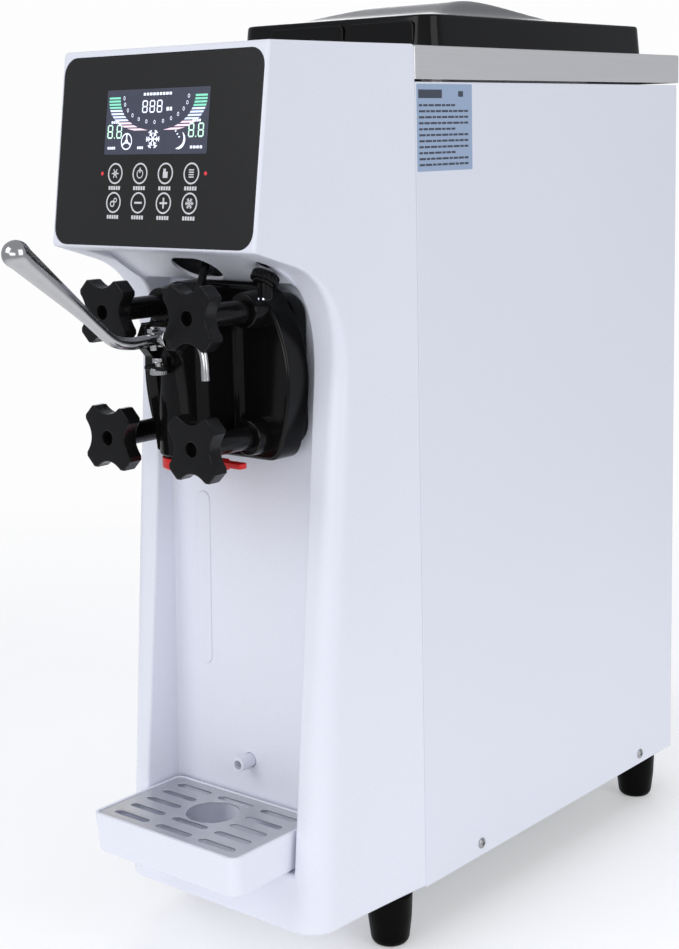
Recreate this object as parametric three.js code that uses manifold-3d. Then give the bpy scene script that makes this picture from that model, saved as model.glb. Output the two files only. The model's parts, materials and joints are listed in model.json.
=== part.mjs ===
// Countertop soft-serve ice cream maker, one flavour, built as separate pieces.
// Units are millimetres. +X is the machine's right-hand side seen from the front,
// -Y is its front and +Z is up. Inside the group, z = 0 is the surface under the feet
// and y = 0 is the seam between the front fascia and the side panels.

import * as THREE from "three";
import { mergeVertices } from "three/addons/utils/BufferGeometryUtils.js";
import Module from "manifold-3d";

const wasm = await Module();
wasm.setup();

// ---------------------------------------------------------------- driving dimensions

const gap = 0.3; // left between pieces that touch
const bodyHalfWidth = 107.2;
const panelDepth = 378;
const footHeight = 40;
const panelTop = 640;
const rimTop = 665.5;
const sheet = 1.2; // steel panel thickness
const plastic = 3; // moulded wall thickness

const fascia = {
  bottom: footHeight,
  top: 666.2,
  baseFront: -117.8, // front face at the bottom edge
  lean: 0.0957, // how far the columns lean back for each mm of height
  columnTop: 430, // where the columns start to curve forward into the chin
  chinStart: { y: -121, z: 518 },
  nose: { y: -157.5, z: 530 },
  sideTaper: 8.7, // how much narrower each side is at the front than at the seam
  taperDepth: 150,
  baseCorner: 21.5,
  columnCorner: 12,
  headCorner: 5,
};

const glass = {
  halfWidth: 96.1,
  height: 130.9,
  corner: 12,
  thickness: 3,
  bottom: { y: -161, z: 531.9 },
  tilt: THREE.MathUtils.degToRad(8.3),
};

const bay = {
  // the bay in which a cup is held under the nozzle
  halfWidth: 75,
  floor: 82,
  backAtFloor: -76.5,
  backAtTop: -66,
  top: 503,
};

const head = {
  axisZ: 441, // centre line of the freezing cylinder and of the dispensing head
  front: -101.5,
  plateBack: -79.3,
  back: -69.3,
  valveY: -126.3,
  valveRadius: 22,
  boreRadius: 13,
  valveTop: 474,
  valveBottom: 384,
};

const knob = { x: 41.3, z: 44.5, front: -166, thickness: 13, hubRadius: 8, turnRadius: 26.5 };
const pivot = { y: -150, z: 468.4, pinRadius: 3 };
const piston = { radius: 12.6, top: 476, bottom: 385 };
const tray = { halfWidth: 72.4, front: -171.3, back: -79, height: 31, corner: 12, wall: 2.5 };
const cylinder = { inner: 42, outer: 45, front: -64, back: 98 };
const drive = { motorZ: 291, plateFront: 166, pulleyFront: 172, pulleyWidth: 16 };
const pulleyRadius = { driven: 46, motor: 23 };
const hopper = { halfWidth: 78, front: 62, back: 290, bottom: 512, corner: 20, feedY: 78 };
const lid = { halfWidth: 95, front: 35.5, back: 346, height: 23.5, corner: 17, dome: 19.5 };
const fan = { z: 180, radius: 66, y: 288 };
const rearLimit = 394; // the end of the mains gland, the rearmost point
const handleTip = { y: -272, z: 537, radius: 9.2 };
const adjuster = { y: -155, bottom: 437.4, top: 455, nutRadius: 6.2 };
const ringGroove = { z: 391, depth: 2, height: 3.4 };
const nozzle = { capBottom: 371, capRadius: 24.4 };
const yoke = {
  inner: 9.5,
  outer: 18.6,
  front: -157,
  ribTop: -150.5,
  ribBottom: -141,
  top: 478,
  bottom: 386,
};
const switchPivot = { x: 3, y: -105, z: 524 };
const switchOpening = { halfWidth: 19, front: -128, back: -101 };
const lampPlace = { x: 62, y: -112 };
const drainZ = 140;
const grille = { rows: 5, rowPitch: 16.3, columnPitch: 43, slotLength: 34, slotWidth: 6 };
const cupHoleRadius = 20;
const display = { halfWidth: 51, bottom: 61, top: 109 }; // measured up the glass
const panelScrews = [
  [73.5, 50],
  [320, 49],
];
const glandPlace = { x: -78, z: 330 };
const footPlaces = {
  front_right: [88, -20],
  front_left: [-88, -20],
  rear_right: [88, 345],
  rear_left: [-88, 345],
};
const innerFloor = footHeight + gap + sheet + gap; // what stands on the base pan starts here

// ------------------------------------------------------------------------ materials

function finish(color, roughness, metalness = 0) {
  return new THREE.MeshStandardMaterial({ color, roughness, metalness });
}

const finishes = {
  whitePlastic: finish(0xe6e8f2, 0.28),
  whitePaint: finish(0xe4e7f2, 0.38),
  stainless: finish(0xb4b6b8, 0.32, 1),
  galvanised: finish(0x9aa0a4, 0.5, 1),
  chrome: finish(0xd8dadc, 0.12, 1),
  blackPlastic: finish(0x131315, 0.2),
  satinBlack: finish(0x18181a, 0.42),
  rubber: finish(0x141414, 0.75),
  seal: finish(0xc9cdd0, 0.6),
  glass: finish(0x1d1e20, 0.08),
  display: finish(0x3d4c6b, 0.3),
  board: finish(0x1f6b3a, 0.55),
  red: finish(0xc91414, 0.35),
  foam: finish(0xe3d9a8, 0.9),
  copper: finish(0xb8703c, 0.3, 1),
  aluminium: finish(0xaeb2b6, 0.4, 1),
  compressorPaint: finish(0x17181a, 0.45),
  beaterPlastic: finish(0xeeeae0, 0.4),
};

// ------------------------------------------------------------------- solid helpers

function solid(geometry) {
  const bare = geometry.clone();
  bare.deleteAttribute("normal");
  bare.deleteAttribute("uv");
  const merged = mergeVertices(bare, 1e-4);
  return new wasm.Manifold(
    new wasm.Mesh({
      numProp: 3,
      vertProperties: new Float32Array(merged.attributes.position.array),
      triVerts: new Uint32Array(merged.index.array),
    }),
  );
}

function geometryOf(body) {
  const mesh = body.getMesh();
  const geometry = new THREE.BufferGeometry();
  geometry.setAttribute("position", new THREE.BufferAttribute(mesh.vertProperties, 3));
  geometry.setIndex(new THREE.BufferAttribute(mesh.triVerts, 1));
  geometry.computeVertexNormals();
  return geometry;
}

function join(...bodies) {
  return bodies.reduce((whole, body) => whole.add(body));
}

function box(x0, x1, y0, y1, z0, z1) {
  const geometry = new THREE.BoxGeometry(x1 - x0, y1 - y0, z1 - z0);
  geometry.translate((x0 + x1) / 2, (y0 + y1) / 2, (z0 + z1) / 2);
  return solid(geometry);
}

function extrusion(shape, depth, curveSegments) {
  return new THREE.ExtrudeGeometry(shape, { depth, bevelEnabled: false, curveSegments });
}

// An outline drawn in (x, y), extruded upward from z0 to z1.
function slabZ(shape, z0, z1, curveSegments = 2) {
  const geometry = extrusion(shape, z1 - z0, curveSegments);
  geometry.translate(0, 0, z0);
  return solid(geometry);
}

// An outline drawn in (x, z), extruded backward from y0 to y1.
function slabY(shape, y0, y1, curveSegments = 2) {
  const geometry = extrusion(shape, y1 - y0, curveSegments);
  geometry.rotateX(Math.PI / 2);
  geometry.translate(0, y1, 0);
  return solid(geometry);
}

// An outline drawn in (y, z), extruded to the right from x0 to x1.
function slabX(shape, x0, x1, curveSegments = 2) {
  const geometry = extrusion(shape, x1 - x0, curveSegments);
  geometry.rotateX(Math.PI / 2);
  geometry.rotateZ(Math.PI / 2);
  geometry.translate(x0, 0, 0);
  return solid(geometry);
}

function rodX(radius, x0, x1, y, z, sides = 12) {
  const geometry = new THREE.CylinderGeometry(radius, radius, x1 - x0, sides);
  geometry.rotateZ(Math.PI / 2);
  geometry.translate((x0 + x1) / 2, y, z);
  return solid(geometry);
}

function rodY(radius, y0, y1, x, z, sides = 12) {
  const geometry = new THREE.CylinderGeometry(radius, radius, y1 - y0, sides);
  geometry.translate(x, (y0 + y1) / 2, z);
  return solid(geometry);
}

function rodZ(radius, z0, z1, x, y, sides = 12) {
  const geometry = new THREE.CylinderGeometry(radius, radius, z1 - z0, sides);
  geometry.rotateX(Math.PI / 2);
  geometry.translate(x, y, (z0 + z1) / 2);
  return solid(geometry);
}

// A profile of [radius, height] pairs turned about +Z.
function turnedZ(profile, x, y, sides = 16) {
  const points = profile.map(([radius, height]) => new THREE.Vector2(radius, height));
  const geometry = new THREE.LatheGeometry(points, sides);
  geometry.rotateX(Math.PI / 2);
  geometry.translate(x, y, 0);
  return solid(geometry);
}

// A profile of [radius, y] pairs turned about +Y.
function turnedY(profile, x, z, sides = 24) {
  const points = profile.map(([radius, y]) => new THREE.Vector2(radius, y));
  const geometry = new THREE.LatheGeometry(points, sides);
  geometry.translate(x, 0, z);
  return solid(geometry);
}

// A round rod along a smooth path; the section's arc has two sides to each division.
function tube(points, radius, divisions = 4, steps = 24) {
  const path = new THREE.CatmullRomCurve3(points.map((point) => new THREE.Vector3(...point)));
  const section = new THREE.Shape();
  section.absarc(0, 0, radius, 0, Math.PI * 2);
  const options = { steps, extrudePath: path, bevelEnabled: false, curveSegments: divisions };
  return solid(new THREE.ExtrudeGeometry(section, options));
}

function polygon(points) {
  return new THREE.Shape(points.map(([u, v]) => new THREE.Vector2(u, v)));
}

function roundedRect(u0, u1, v0, v1, radius) {
  const shape = new THREE.Shape();
  shape.moveTo(u0 + radius, v0);
  shape.lineTo(u1 - radius, v0);
  shape.absarc(u1 - radius, v0 + radius, radius, -Math.PI / 2, 0);
  shape.lineTo(u1, v1 - radius);
  shape.absarc(u1 - radius, v1 - radius, radius, 0, Math.PI / 2);
  shape.lineTo(u0 + radius, v1);
  shape.absarc(u0 + radius, v1 - radius, radius, Math.PI / 2, Math.PI);
  shape.lineTo(u0, v0 + radius);
  shape.absarc(u0 + radius, v0 + radius, radius, Math.PI, Math.PI * 1.5);
  return shape;
}

const machine = new THREE.Group();
machine.position.y = -(rearLimit + handleTip.y - handleTip.radius) / 2;

function place(name, body, material, parent = machine) {
  const mesh = new THREE.Mesh(geometryOf(body), material);
  mesh.name = name;
  parent.add(mesh);
  return mesh;
}

// -------------------------------------------------------------------- front fascia

// The side view of the fascia's front, as (y, z) points that rise all the way.
function fasciaProfile() {
  const leanAt = (z) => fascia.baseFront + fascia.lean * (z - fascia.bottom);
  const chinSlope = (fascia.nose.z - fascia.chinStart.z) / (fascia.chinStart.y - fascia.nose.y);
  const bendZ = 502;
  const bendY = fascia.chinStart.y + (fascia.chinStart.z - bendZ) / chinSlope;
  const glassTop = glassPoint(glass.height);
  const path = new THREE.Path();
  path.moveTo(leanAt(fascia.columnTop), fascia.columnTop);
  path.quadraticCurveTo(bendY, bendZ, fascia.chinStart.y, fascia.chinStart.z);
  const rising = path.getPoints(6).map((point) => [point.x, point.y]);
  return [
    [leanAt(fascia.bottom), fascia.bottom],
    ...rising,
    [fascia.nose.y, fascia.nose.z],
    [glass.bottom.y, glass.bottom.z + 1.5],
    [glassTop.y, glassTop.z + 1],
    [glassTop.y + 4, fascia.top],
  ];
}

// A point on the glass plane, the given distance up from its lower edge.
function glassPoint(distance) {
  const y = glass.bottom.y + distance * Math.sin(glass.tilt);
  const z = glass.bottom.z + distance * Math.cos(glass.tilt);
  return { y, z };
}

function fasciaCorner(z) {
  if (z < fascia.columnTop) {
    const share = (z - fascia.bottom) / (fascia.columnTop - fascia.bottom);
    return THREE.MathUtils.lerp(fascia.baseCorner, fascia.columnCorner, share);
  }
  const share = Math.min(1, (z - fascia.columnTop) / (fascia.nose.z - fascia.columnTop));
  return THREE.MathUtils.lerp(fascia.columnCorner, fascia.headCorner, share);
}

function fasciaHalfWidth(y) {
  const share = Math.min(1, Math.max(0, -y / fascia.taperDepth));
  return bodyHalfWidth - fascia.sideTaper * (1 - (1 - share) ** 2);
}

// One level of the fascia seen from above: seam, side, round corner, then mirrored.
function fasciaLoop(front, z, inset, back) {
  const radius = Math.max(1, fasciaCorner(z) - inset);
  const cornerY = front + inset + radius;
  const side = fasciaHalfWidth(cornerY) - inset;
  const half = [
    [fasciaHalfWidth(0) - inset, back],
    [fasciaHalfWidth(cornerY / 2) - inset, cornerY / 2],
  ];
  const arcSteps = 3;
  for (let step = 0; step <= arcSteps; step += 1) {
    const angle = (step / arcSteps) * (Math.PI / 2);
    half.push([side - radius + radius * Math.cos(angle), cornerY - radius * Math.sin(angle)]);
  }
  const mirrored = half.map(([x, y]) => [-x, y]).reverse();
  return [[0, back], ...half, ...mirrored].map(([x, y]) => [x, y, z]);
}

// Stacks level loops, each clockwise seen from above, into one closed body.
function loft(loops) {
  const count = loops[0].length;
  const indices = [];
  for (let level = 0; level + 1 < loops.length; level += 1) {
    for (let i = 0; i < count; i += 1) {
      const a = level * count + i;
      const b = level * count + ((i + 1) % count);
      indices.push(a, a + count, b, b, a + count, b + count);
    }
  }
  const top = (loops.length - 1) * count;
  for (let i = 1; i + 1 < count; i += 1) {
    indices.push(0, i, i + 1);
    indices.push(top, top + i + 1, top + i);
  }
  const geometry = new THREE.BufferGeometry();
  geometry.setAttribute("position", new THREE.Float32BufferAttribute(loops.flat(2), 3));
  geometry.setIndex(indices);
  return solid(geometry);
}

function fasciaOuter() {
  return loft(fasciaProfile().map(([front, z]) => fasciaLoop(front, z, 0, 0)));
}

function fasciaHollow() {
  const levels = fasciaProfile().map(([front, z]) => [front, z + plastic]);
  levels[0] = [fasciaProfile()[0][0], fascia.bottom + plastic];
  levels[levels.length - 1] = [levels.at(-2)[0] + plastic, fascia.top - plastic];
  levels[levels.length - 2][1] = fascia.top - 2 * plastic;
  return loft(levels.map(([front, z]) => fasciaLoop(front, z, plastic, 5)));
}

// The space of the cup bay, grown by a wall thickness where one is given.
function baySpace(grow) {
  const slope = (bay.backAtTop - bay.backAtFloor) / (bay.top - bay.floor);
  const backAt = (z) => bay.backAtFloor + slope * (z - bay.floor) + grow;
  const floor = bay.floor - grow;
  const ceiling = bay.top + grow;
  const side = polygon([
    [-190, floor],
    [backAt(floor), floor],
    [backAt(ceiling), ceiling],
    [fascia.chinStart.y, fascia.chinStart.z + grow],
    [-135, fascia.chinStart.z + grow],
    [-190, fascia.chinStart.z - 60],
  ]);
  return slabX(side, -bay.halfWidth - grow, bay.halfWidth + grow);
}

function glassOutline(grow) {
  const half = glass.halfWidth + grow;
  return roundedRect(-half, half, -grow, glass.height + grow, glass.corner + grow);
}

// A body in the glass's own frame: x to the right, z up the glass, y inward from its face.
function onGlass(body) {
  const degrees = THREE.MathUtils.radToDeg(-glass.tilt);
  return body.rotate([degrees, 0, 0]).translate([0, glass.bottom.y, glass.bottom.z]);
}

function frontFascia() {
  const outer = fasciaOuter();
  const bayWall = baySpace(plastic).intersect(outer);
  const glassBack = onGlass(slabY(glassOutline(2), 0.5, glass.thickness + plastic)).intersect(outer);
  let body = join(outer.subtract(fasciaHollow()), bayWall, glassBack);
  body = body.subtract(baySpace(0));
  body = body.subtract(onGlass(slabY(glassOutline(0.4), -10, glass.thickness + gap)));
  const { halfWidth, bottom, top } = display;
  const window = roundedRect(-halfWidth - 1, halfWidth + 1, bottom - 1, top + 1, 3);
  body = body.subtract(onGlass(slabY(window, 0, 12)));
  body = body.subtract(rodY(cylinder.outer + 4, -90, -40, 0, head.axisZ, 20));
  for (const [x, z] of knobCentres()) {
    body = body.subtract(rodY(5.2, -90, -40, x, z, 8));
  }
  body = body.subtract(slabZ(switchHole(), 480, 540));
  body = body.subtract(rodZ(6, 490, 540, lampPlace.x, lampPlace.y, 12));
  body = body.subtract(rodY(5.9, -95, -50, 0, drainZ, 12));
  body = body.subtract(lightStrip());
  return body;
}

function switchHole() {
  const { halfWidth, front, back } = switchOpening;
  return roundedRect(-halfWidth, halfWidth, front, back, (back - front) / 2 - 0.1);
}

// A long shallow groove with round ends in the bay's back wall.
function lightStrip() {
  const outline = roundedRect(-42, -28, 207, 341, 6.9);
  return slabY(outline, -95, -50).intersect(baySpace(1.3));
}

function knobCentres() {
  return [
    [-knob.x, head.axisZ + knob.z],
    [knob.x, head.axisZ + knob.z],
    [-knob.x, head.axisZ - knob.z],
    [knob.x, head.axisZ - knob.z],
  ];
}

// ------------------------------------------------------------------ control panel

function controlGlass() {
  return onGlass(slabY(glassOutline(0), 0, glass.thickness));
}

function displayModule() {
  const { halfWidth, bottom, top } = display;
  const bezel = box(-halfWidth, halfWidth, glass.thickness + gap, 12, bottom, top);
  const carrier = box(-halfWidth - 7, halfWidth + 7, 12, 14, bottom - 5, top + 5);
  return onGlass(bezel.add(carrier));
}

function controlBoard() {
  let body = box(-80, 80, 16, 17.6, 16, 112);
  for (const x of [-62, -34, 0, 34, 62]) {
    body = body.add(box(x - 8, x + 8, 17.6, 26, 30, 42));
  }
  body = body.add(box(-70, 70, 17.6, 22, 86, 98));
  return onGlass(body);
}

// -------------------------------------------------------------------------- casing

function sidePanel(sign) {
  const outerX = bodyHalfWidth;
  const front = gap;
  const lip = 12;
  const outline = polygon([
    [outerX - lip, front],
    [outerX, front],
    [outerX, panelDepth],
    [outerX - lip, panelDepth],
    [outerX - lip, panelDepth - sheet],
    [outerX - sheet, panelDepth - sheet],
    [outerX - sheet, front + sheet],
    [outerX - lip, front + sheet],
  ]);
  let body = slabZ(outline, footHeight, panelTop);
  for (const [y, z] of panelScrews) {
    body = body.subtract(rodX(2.4, outerX - 4, outerX + 4, y, z, 8));
  }
  return sign > 0 ? body : body.mirror([1, 0, 0]);
}

function rearPanel() {
  const y0 = panelDepth + gap;
  let body = box(-105.5, 105.5, y0, y0 + sheet, footHeight + 1, panelTop - 1);
  const rows = 9;
  for (let row = 0; row < rows; row += 1) {
    const z = 78 + row * 24;
    for (const x of [-44, 44]) {
      body = body.subtract(box(x - 36, x + 36, y0 - 2, y0 + 4, z, z + 7));
    }
  }
  return body.subtract(rodY(8.6, y0 - 3, y0 + 5, glandPlace.x, glandPlace.z, 12));
}

function basePan() {
  const half = bodyHalfWidth - sheet - gap;
  const z0 = footHeight + gap;
  const outer = box(-half, half, 2, panelDepth - 2, z0, z0 + 16);
  const innerHalf = half - sheet;
  const inner = box(-innerHalf, innerHalf, 2 + sheet, panelDepth - 2 - sheet, z0 + sheet, z0 + 30);
  return outer.subtract(inner);
}

function topRim() {
  const half = bodyHalfWidth + 0.4;
  const y0 = 1.6;
  const y1 = 380.5;
  const innerHalf = half - sheet;
  const outer = box(-half, half, y0, y1, panelTop + 0.9, rimTop);
  const inner = box(-innerHalf, innerHalf, y0 + sheet, y1 - sheet, panelTop - 5, rimTop - sheet);
  const opening = hopperOutline(1);
  return outer.subtract(inner).subtract(slabZ(opening, rimTop - 10, rimTop + 10));
}

function foot(x, y) {
  const top = footHeight - gap;
  const profile = [
    [0, 0],
    [12.2, 0],
    [14, 1.2],
    [14.8, 4.5],
    [16.6, 20],
    [17.5, top],
    [0, top],
  ];
  return turnedZ(profile, x, y, 14);
}

// ------------------------------------------------------------------ hopper and lid

// The hopper seen from above, grown outward by the distance given.
function hopperOutline(grow) {
  const half = hopper.halfWidth + grow;
  return roundedRect(-half, half, hopper.front - grow, hopper.back + grow, hopper.corner + grow);
}

function hopperBody() {
  const { bottom, feedY } = hopper;
  const wall = 1.5;
  const top = rimTop + gap + wall;
  const outer = slabZ(hopperOutline(0), bottom, top);
  const flange = slabZ(hopperOutline(8), rimTop + gap, top);
  const spout = rodZ(11, head.axisZ + 42, bottom + 1, 0, feedY, 14);
  const cavity = slabZ(hopperOutline(-wall), bottom + wall, top + 5);
  const feedHole = rodZ(9, head.axisZ, bottom + 10, 0, feedY, 16);
  return join(outer, flange, spout).subtract(cavity).subtract(feedHole);
}

// The lid seen from above, shrunk inward by the distance given.
function lidOutline(inset) {
  const half = lid.halfWidth - inset;
  return roundedRect(-half, half, lid.front + inset, lid.back - inset, lid.corner - inset);
}

function hopperLid() {
  const { height, dome } = lid;
  const z0 = rimTop + gap;
  const inside = slabZ(lidOutline(plastic), z0 - 5, z0 + height - plastic);
  const shell = slabZ(lidOutline(0), z0, z0 + height).subtract(inside);
  const crown = domeLoft(z0 + height - 0.5, dome, 0);
  const hollow = domeLoft(z0 + height - 0.6 - plastic, dome, plastic);
  return shell.add(crown).subtract(hollow);
}

// The lid's raised middle: rounded outlines that shrink as they rise.
function domeLoft(z0, rise, inset) {
  const steps = 4;
  const loops = [];
  for (let step = 0; step <= steps; step += 1) {
    const share = step / steps;
    const shrink = 34 * (1 - Math.cos((share * Math.PI) / 2)) + inset;
    const half = 72 - shrink;
    const z = z0 + rise * Math.sin((share * Math.PI) / 2);
    const outline = roundedRect(-half, half, 82 + shrink * 1.2, 246 - shrink * 1.2, 24);
    const points = outline.getPoints(2).reverse();
    loops.push(points.map((point) => [point.x, point.y, z]));
  }
  return loft(loops.map(tidyLoop));
}

// Drops points that repeat their neighbour, so that a loop has no edge without length.
function tidyLoop(loop) {
  return loop.filter((point, i) => {
    const next = loop[(i + 1) % loop.length];
    return Math.hypot(point[0] - next[0], point[1] - next[1]) > 1e-3;
  });
}

function airTube() {
  const bottom = hopper.bottom - 12;
  const stem = rodZ(8.6, bottom, hopper.bottom + 2, 0, hopper.feedY, 16);
  const collar = rodZ(13, hopper.bottom + 2, hopper.bottom + 8, 0, hopper.feedY, 16);
  const pipe = rodZ(6, hopper.bottom + 8, 640, 0, hopper.feedY, 12);
  return join(stem, collar, pipe).subtract(rodZ(3.8, bottom - 5, 650, 0, hopper.feedY, 10));
}

// ---------------------------------------------------------- freezing cylinder, beater

function freezingCylinder() {
  const { inner, outer, front, back } = cylinder;
  const profile = [
    [inner, front],
    [outer, front],
    [outer, back],
    [8.8, back],
    [8.8, back - 4],
    [inner, back - 4],
    [inner, front],
  ];
  const plate = slabY(roundedRect(-54, 54, head.axisZ - 57, head.axisZ + 57, 8), -60, -56.5);
  const hole = rodY(outer - 1, -70, -50, 0, head.axisZ, 20);
  let body = turnedY(profile, 0, head.axisZ, 20).add(plate.subtract(hole));
  body = body.subtract(rodZ(11.4, head.axisZ + 20, head.axisZ + 60, 0, hopper.feedY, 16));
  for (const [x, z] of knobCentres()) {
    body = body.subtract(rodY(4.4, -70, -50, x, z, 10));
  }
  return body;
}

function cylinderInsulation() {
  const front = -50;
  const back = cylinder.back - 1;
  const shell = rodY(62, front, back, 0, head.axisZ, 16);
  const core = rodY(cylinder.outer + 1.2, front - 5, back + 5, 0, head.axisZ, 20);
  const feed = rodZ(11.6, head.axisZ + 20, head.axisZ + 80, 0, hopper.feedY, 16);
  return shell.subtract(core).subtract(feed);
}

function beater() {
  const shaft = rodY(8.4, -58, 104, 0, head.axisZ, 12);
  const radius = 36.5;
  const front = -56;
  const back = 82;
  let body = shaft;
  for (const phase of [0, Math.PI]) {
    const points = [];
    const turns = 1.25;
    const samples = 16;
    for (let i = 0; i <= samples; i += 1) {
      const angle = phase + (i / samples) * turns * Math.PI * 2;
      const y = front + ((back - front) * i) / samples;
      points.push([radius * Math.cos(angle), y, head.axisZ + radius * Math.sin(angle)]);
    }
    body = body.add(tube(points, 3.6, 2, 18));
  }
  for (const y of [front, (front + back) / 2, back]) {
    const spin = ((y - front) / (back - front)) * 1.25 * 360;
    const bar = box(-radius, radius, y - 3, y + 3, -3.4, 3.4).rotate([0, -spin, 0]);
    body = body.add(bar.translate([0, 0, head.axisZ]));
  }
  return body;
}

function shaftSeal() {
  const profile = [
    [8.7, 87.6],
    [13, 87.6],
    [15, 93.6],
    [8.7, 93.6],
    [8.7, 87.6],
  ];
  return turnedY(profile, 0, head.axisZ, 16);
}

// ------------------------------------------------------------------------ the drive

function gearbox() {
  const back = drive.plateFront - gap;
  const housing = slabY(roundedRect(-52, 52, head.axisZ - 52, head.axisZ + 52, 16), 108, back);
  const neck = rodY(20, 99, 108, 0, head.axisZ, 16);
  const input = rodY(7, back, drive.pulleyFront + drive.pulleyWidth + 4, 0, head.axisZ, 12);
  return join(housing, neck, input).subtract(rodY(8.8, 90, 125, 0, head.axisZ, 12));
}

function beaterMotor() {
  const back = drive.plateFront - gap;
  const profile = [
    [0, 44],
    [44, 44],
    [50, 50],
    [50, back - 6],
    [46, back],
    [0, back],
  ];
  const shell = turnedY(profile, 0, drive.motorZ, 20);
  const shaft = rodY(6, back - 1, drive.pulleyFront + drive.pulleyWidth + 4, 0, drive.motorZ, 12);
  const terminals = box(50, 68, 80, 130, drive.motorZ - 16, drive.motorZ + 16);
  const neck = box(30, 52, 90, 120, drive.motorZ - 12, drive.motorZ + 12);
  return join(shell, shaft, terminals, neck);
}

function driveFrame() {
  const y0 = drive.plateFront;
  const y1 = y0 + 2;
  const z0 = innerFloor;
  let body = box(-74, 74, y0, y1, z0, head.axisZ + 58).add(box(-74, 74, y0, y0 + 34, z0, z0 + 2));
  for (const z of [head.axisZ, drive.motorZ]) {
    body = body.subtract(rodY(18, y0 - 5, y1 + 5, 0, z, 16));
  }
  return body;
}

function pulley(radius, boreRadius, z) {
  const y0 = drive.pulleyFront;
  const y1 = y0 + drive.pulleyWidth;
  const middle = (y0 + y1) / 2;
  const profile = [
    [boreRadius, y0],
    [radius, y0],
    [radius, middle - 5.5],
    [radius - 5, middle - 4.5],
    [radius - 5, middle + 4.5],
    [radius, middle + 5.5],
    [radius, y1],
    [boreRadius, y1],
    [boreRadius, y0],
  ];
  const spokeHole = rodY(radius * 0.17, y0 - 3, y1 + 3, radius * 0.55, z, 6);
  return turnedY(profile, 0, z, 16).subtract(spokeHole);
}

// A loop that wraps two circles of different size, one above the other.
function beltOutline(grow) {
  const upper = pulleyRadius.driven - 4.6 + grow;
  const lower = pulleyRadius.motor - 4.6 + grow;
  const span = head.axisZ - drive.motorZ;
  const lean = Math.asin((upper - lower) / span);
  const shape = new THREE.Shape();
  shape.absarc(0, head.axisZ, upper, -lean, Math.PI + lean);
  shape.absarc(0, drive.motorZ, lower, Math.PI + lean, 2 * Math.PI - lean);
  shape.closePath();
  return shape;
}

function driveBelt() {
  const middle = drive.pulleyFront + drive.pulleyWidth / 2;
  const outer = slabY(beltOutline(4.4), middle - 4, middle + 4, 8);
  return outer.subtract(slabY(beltOutline(0), middle - 9, middle + 9, 8));
}

// ---------------------------------------------------------------- the cooling circuit

function compressor() {
  const y = 92;
  const z0 = innerFloor;
  const profile = [
    [0, z0 + 12],
    [48, z0 + 14],
    [60, z0 + 26],
    [62, z0 + 90],
    [56, z0 + 128],
    [38, z0 + 150],
    [0, z0 + 158],
  ];
  let body = turnedZ(profile, 0, y, 16);
  body = body.add(box(-66, 66, y - 50, y + 50, z0 + 10, z0 + 14));
  for (const x of [-56, 56]) {
    for (const dy of [-40, 40]) {
      body = body.add(rodZ(8, z0, z0 + 11, x, y + dy, 10));
    }
  }
  return body.add(box(-20, 20, y - 74, y - 55, z0 + 60, z0 + 110));
}

function condenser() {
  const y0 = 312;
  const y1 = 348;
  const z0 = 62;
  const z1 = 302;
  const half = 86;
  const fins = 13;
  const pitch = (z1 - z0) / fins;
  const core = box(-half, half, y0 + 8, y1 - 8, z0, z1);
  let body = core;
  for (let i = 0; i < fins; i += 1) {
    const z = z0 + (i + 0.5) * pitch;
    body = body.add(box(-half, half, y0, y1, z - 1.2, z + 1.2));
  }
  for (const x of [-half - 2, half]) {
    body = body.add(box(x, x + 2, y0 - 2, y1 + 2, z0 - 18, z1));
  }
  return body;
}

function fanShroud() {
  const half = 82;
  const wall = 2;
  const outline = roundedRect(-half, half, fan.z - half, fan.z + half, 6);
  const plate = slabY(outline, fan.y - 12, fan.y + 20, 1);
  const innerHalf = half - wall;
  const innerOutline = roundedRect(-innerHalf, innerHalf, fan.z - innerHalf, fan.z + innerHalf, 4);
  const hollow = slabY(innerOutline, fan.y - 10, fan.y + 30, 1);
  let body = plate.subtract(hollow).subtract(rodY(fan.radius + 4, fan.y - 20, fan.y, 0, fan.z, 28));
  for (const x of [-60, 52]) {
    body = body.add(box(x, x + 8, fan.y + 2, fan.y + 16, innerFloor, fan.z - half + 1));
  }
  const bar = box(-half + 1, half - 1, fan.y - 16, fan.y - 12, fan.z - 7, fan.z + 7);
  return body.add(bar).subtract(rodY(5, fan.y - 20, fan.y - 5, 0, fan.z, 10));
}

function fanMotor() {
  const back = fan.y - 16 - gap;
  const can = rodY(26, back - 46, back, 0, fan.z, 18);
  return can.add(rodY(2.8, back - 1, fan.y + 9, 0, fan.z, 10));
}

function fanBlade() {
  const hub = rodY(16, fan.y - 8, fan.y + 10, 0, fan.z, 18);
  let body = hub;
  const blades = 5;
  for (let i = 0; i < blades; i += 1) {
    const blade = slabX(bladeOutline(), 10, fan.radius);
    const pitched = blade.rotate([36, 0, 0]).rotate([0, (i * 360) / blades, 0]);
    body = body.add(pitched.translate([0, fan.y + 1, fan.z]));
  }
  return body.subtract(rodY(3.2, fan.y - 20, fan.y + 20, 0, fan.z, 10));
}

function bladeOutline() {
  return polygon([[-1, -14], [1, -14], [1, 14], [-1, 14]]);
}

function dischargePipe() {
  const route = [
    [63.5, 92, 150],
    [80, 96, 152],
    [93, 120, 170],
    [94, 200, 250],
    [94, 280, 285],
    [94, 324, 290],
  ];
  return tube(route, 4, 4, 18);
}

function suctionPipe() {
  const route = [
    [-60, 60, 417],
    [-72, 60, 412],
    [-88, 66, 392],
    [-92, 84, 330],
    [-90, 98, 250],
    [-86, 98, 180],
    [-67.5, 94, 160],
  ];
  return tube(route, 5, 4, 18);
}

function filterDrier() {
  const profile = [
    [0, 215],
    [4, 216],
    [11, 224],
    [11, 282],
    [4, 290],
    [0, 291],
  ];
  return turnedZ(profile, 60, 226, 12);
}

// ------------------------------------------------------------------------ electrics

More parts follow.
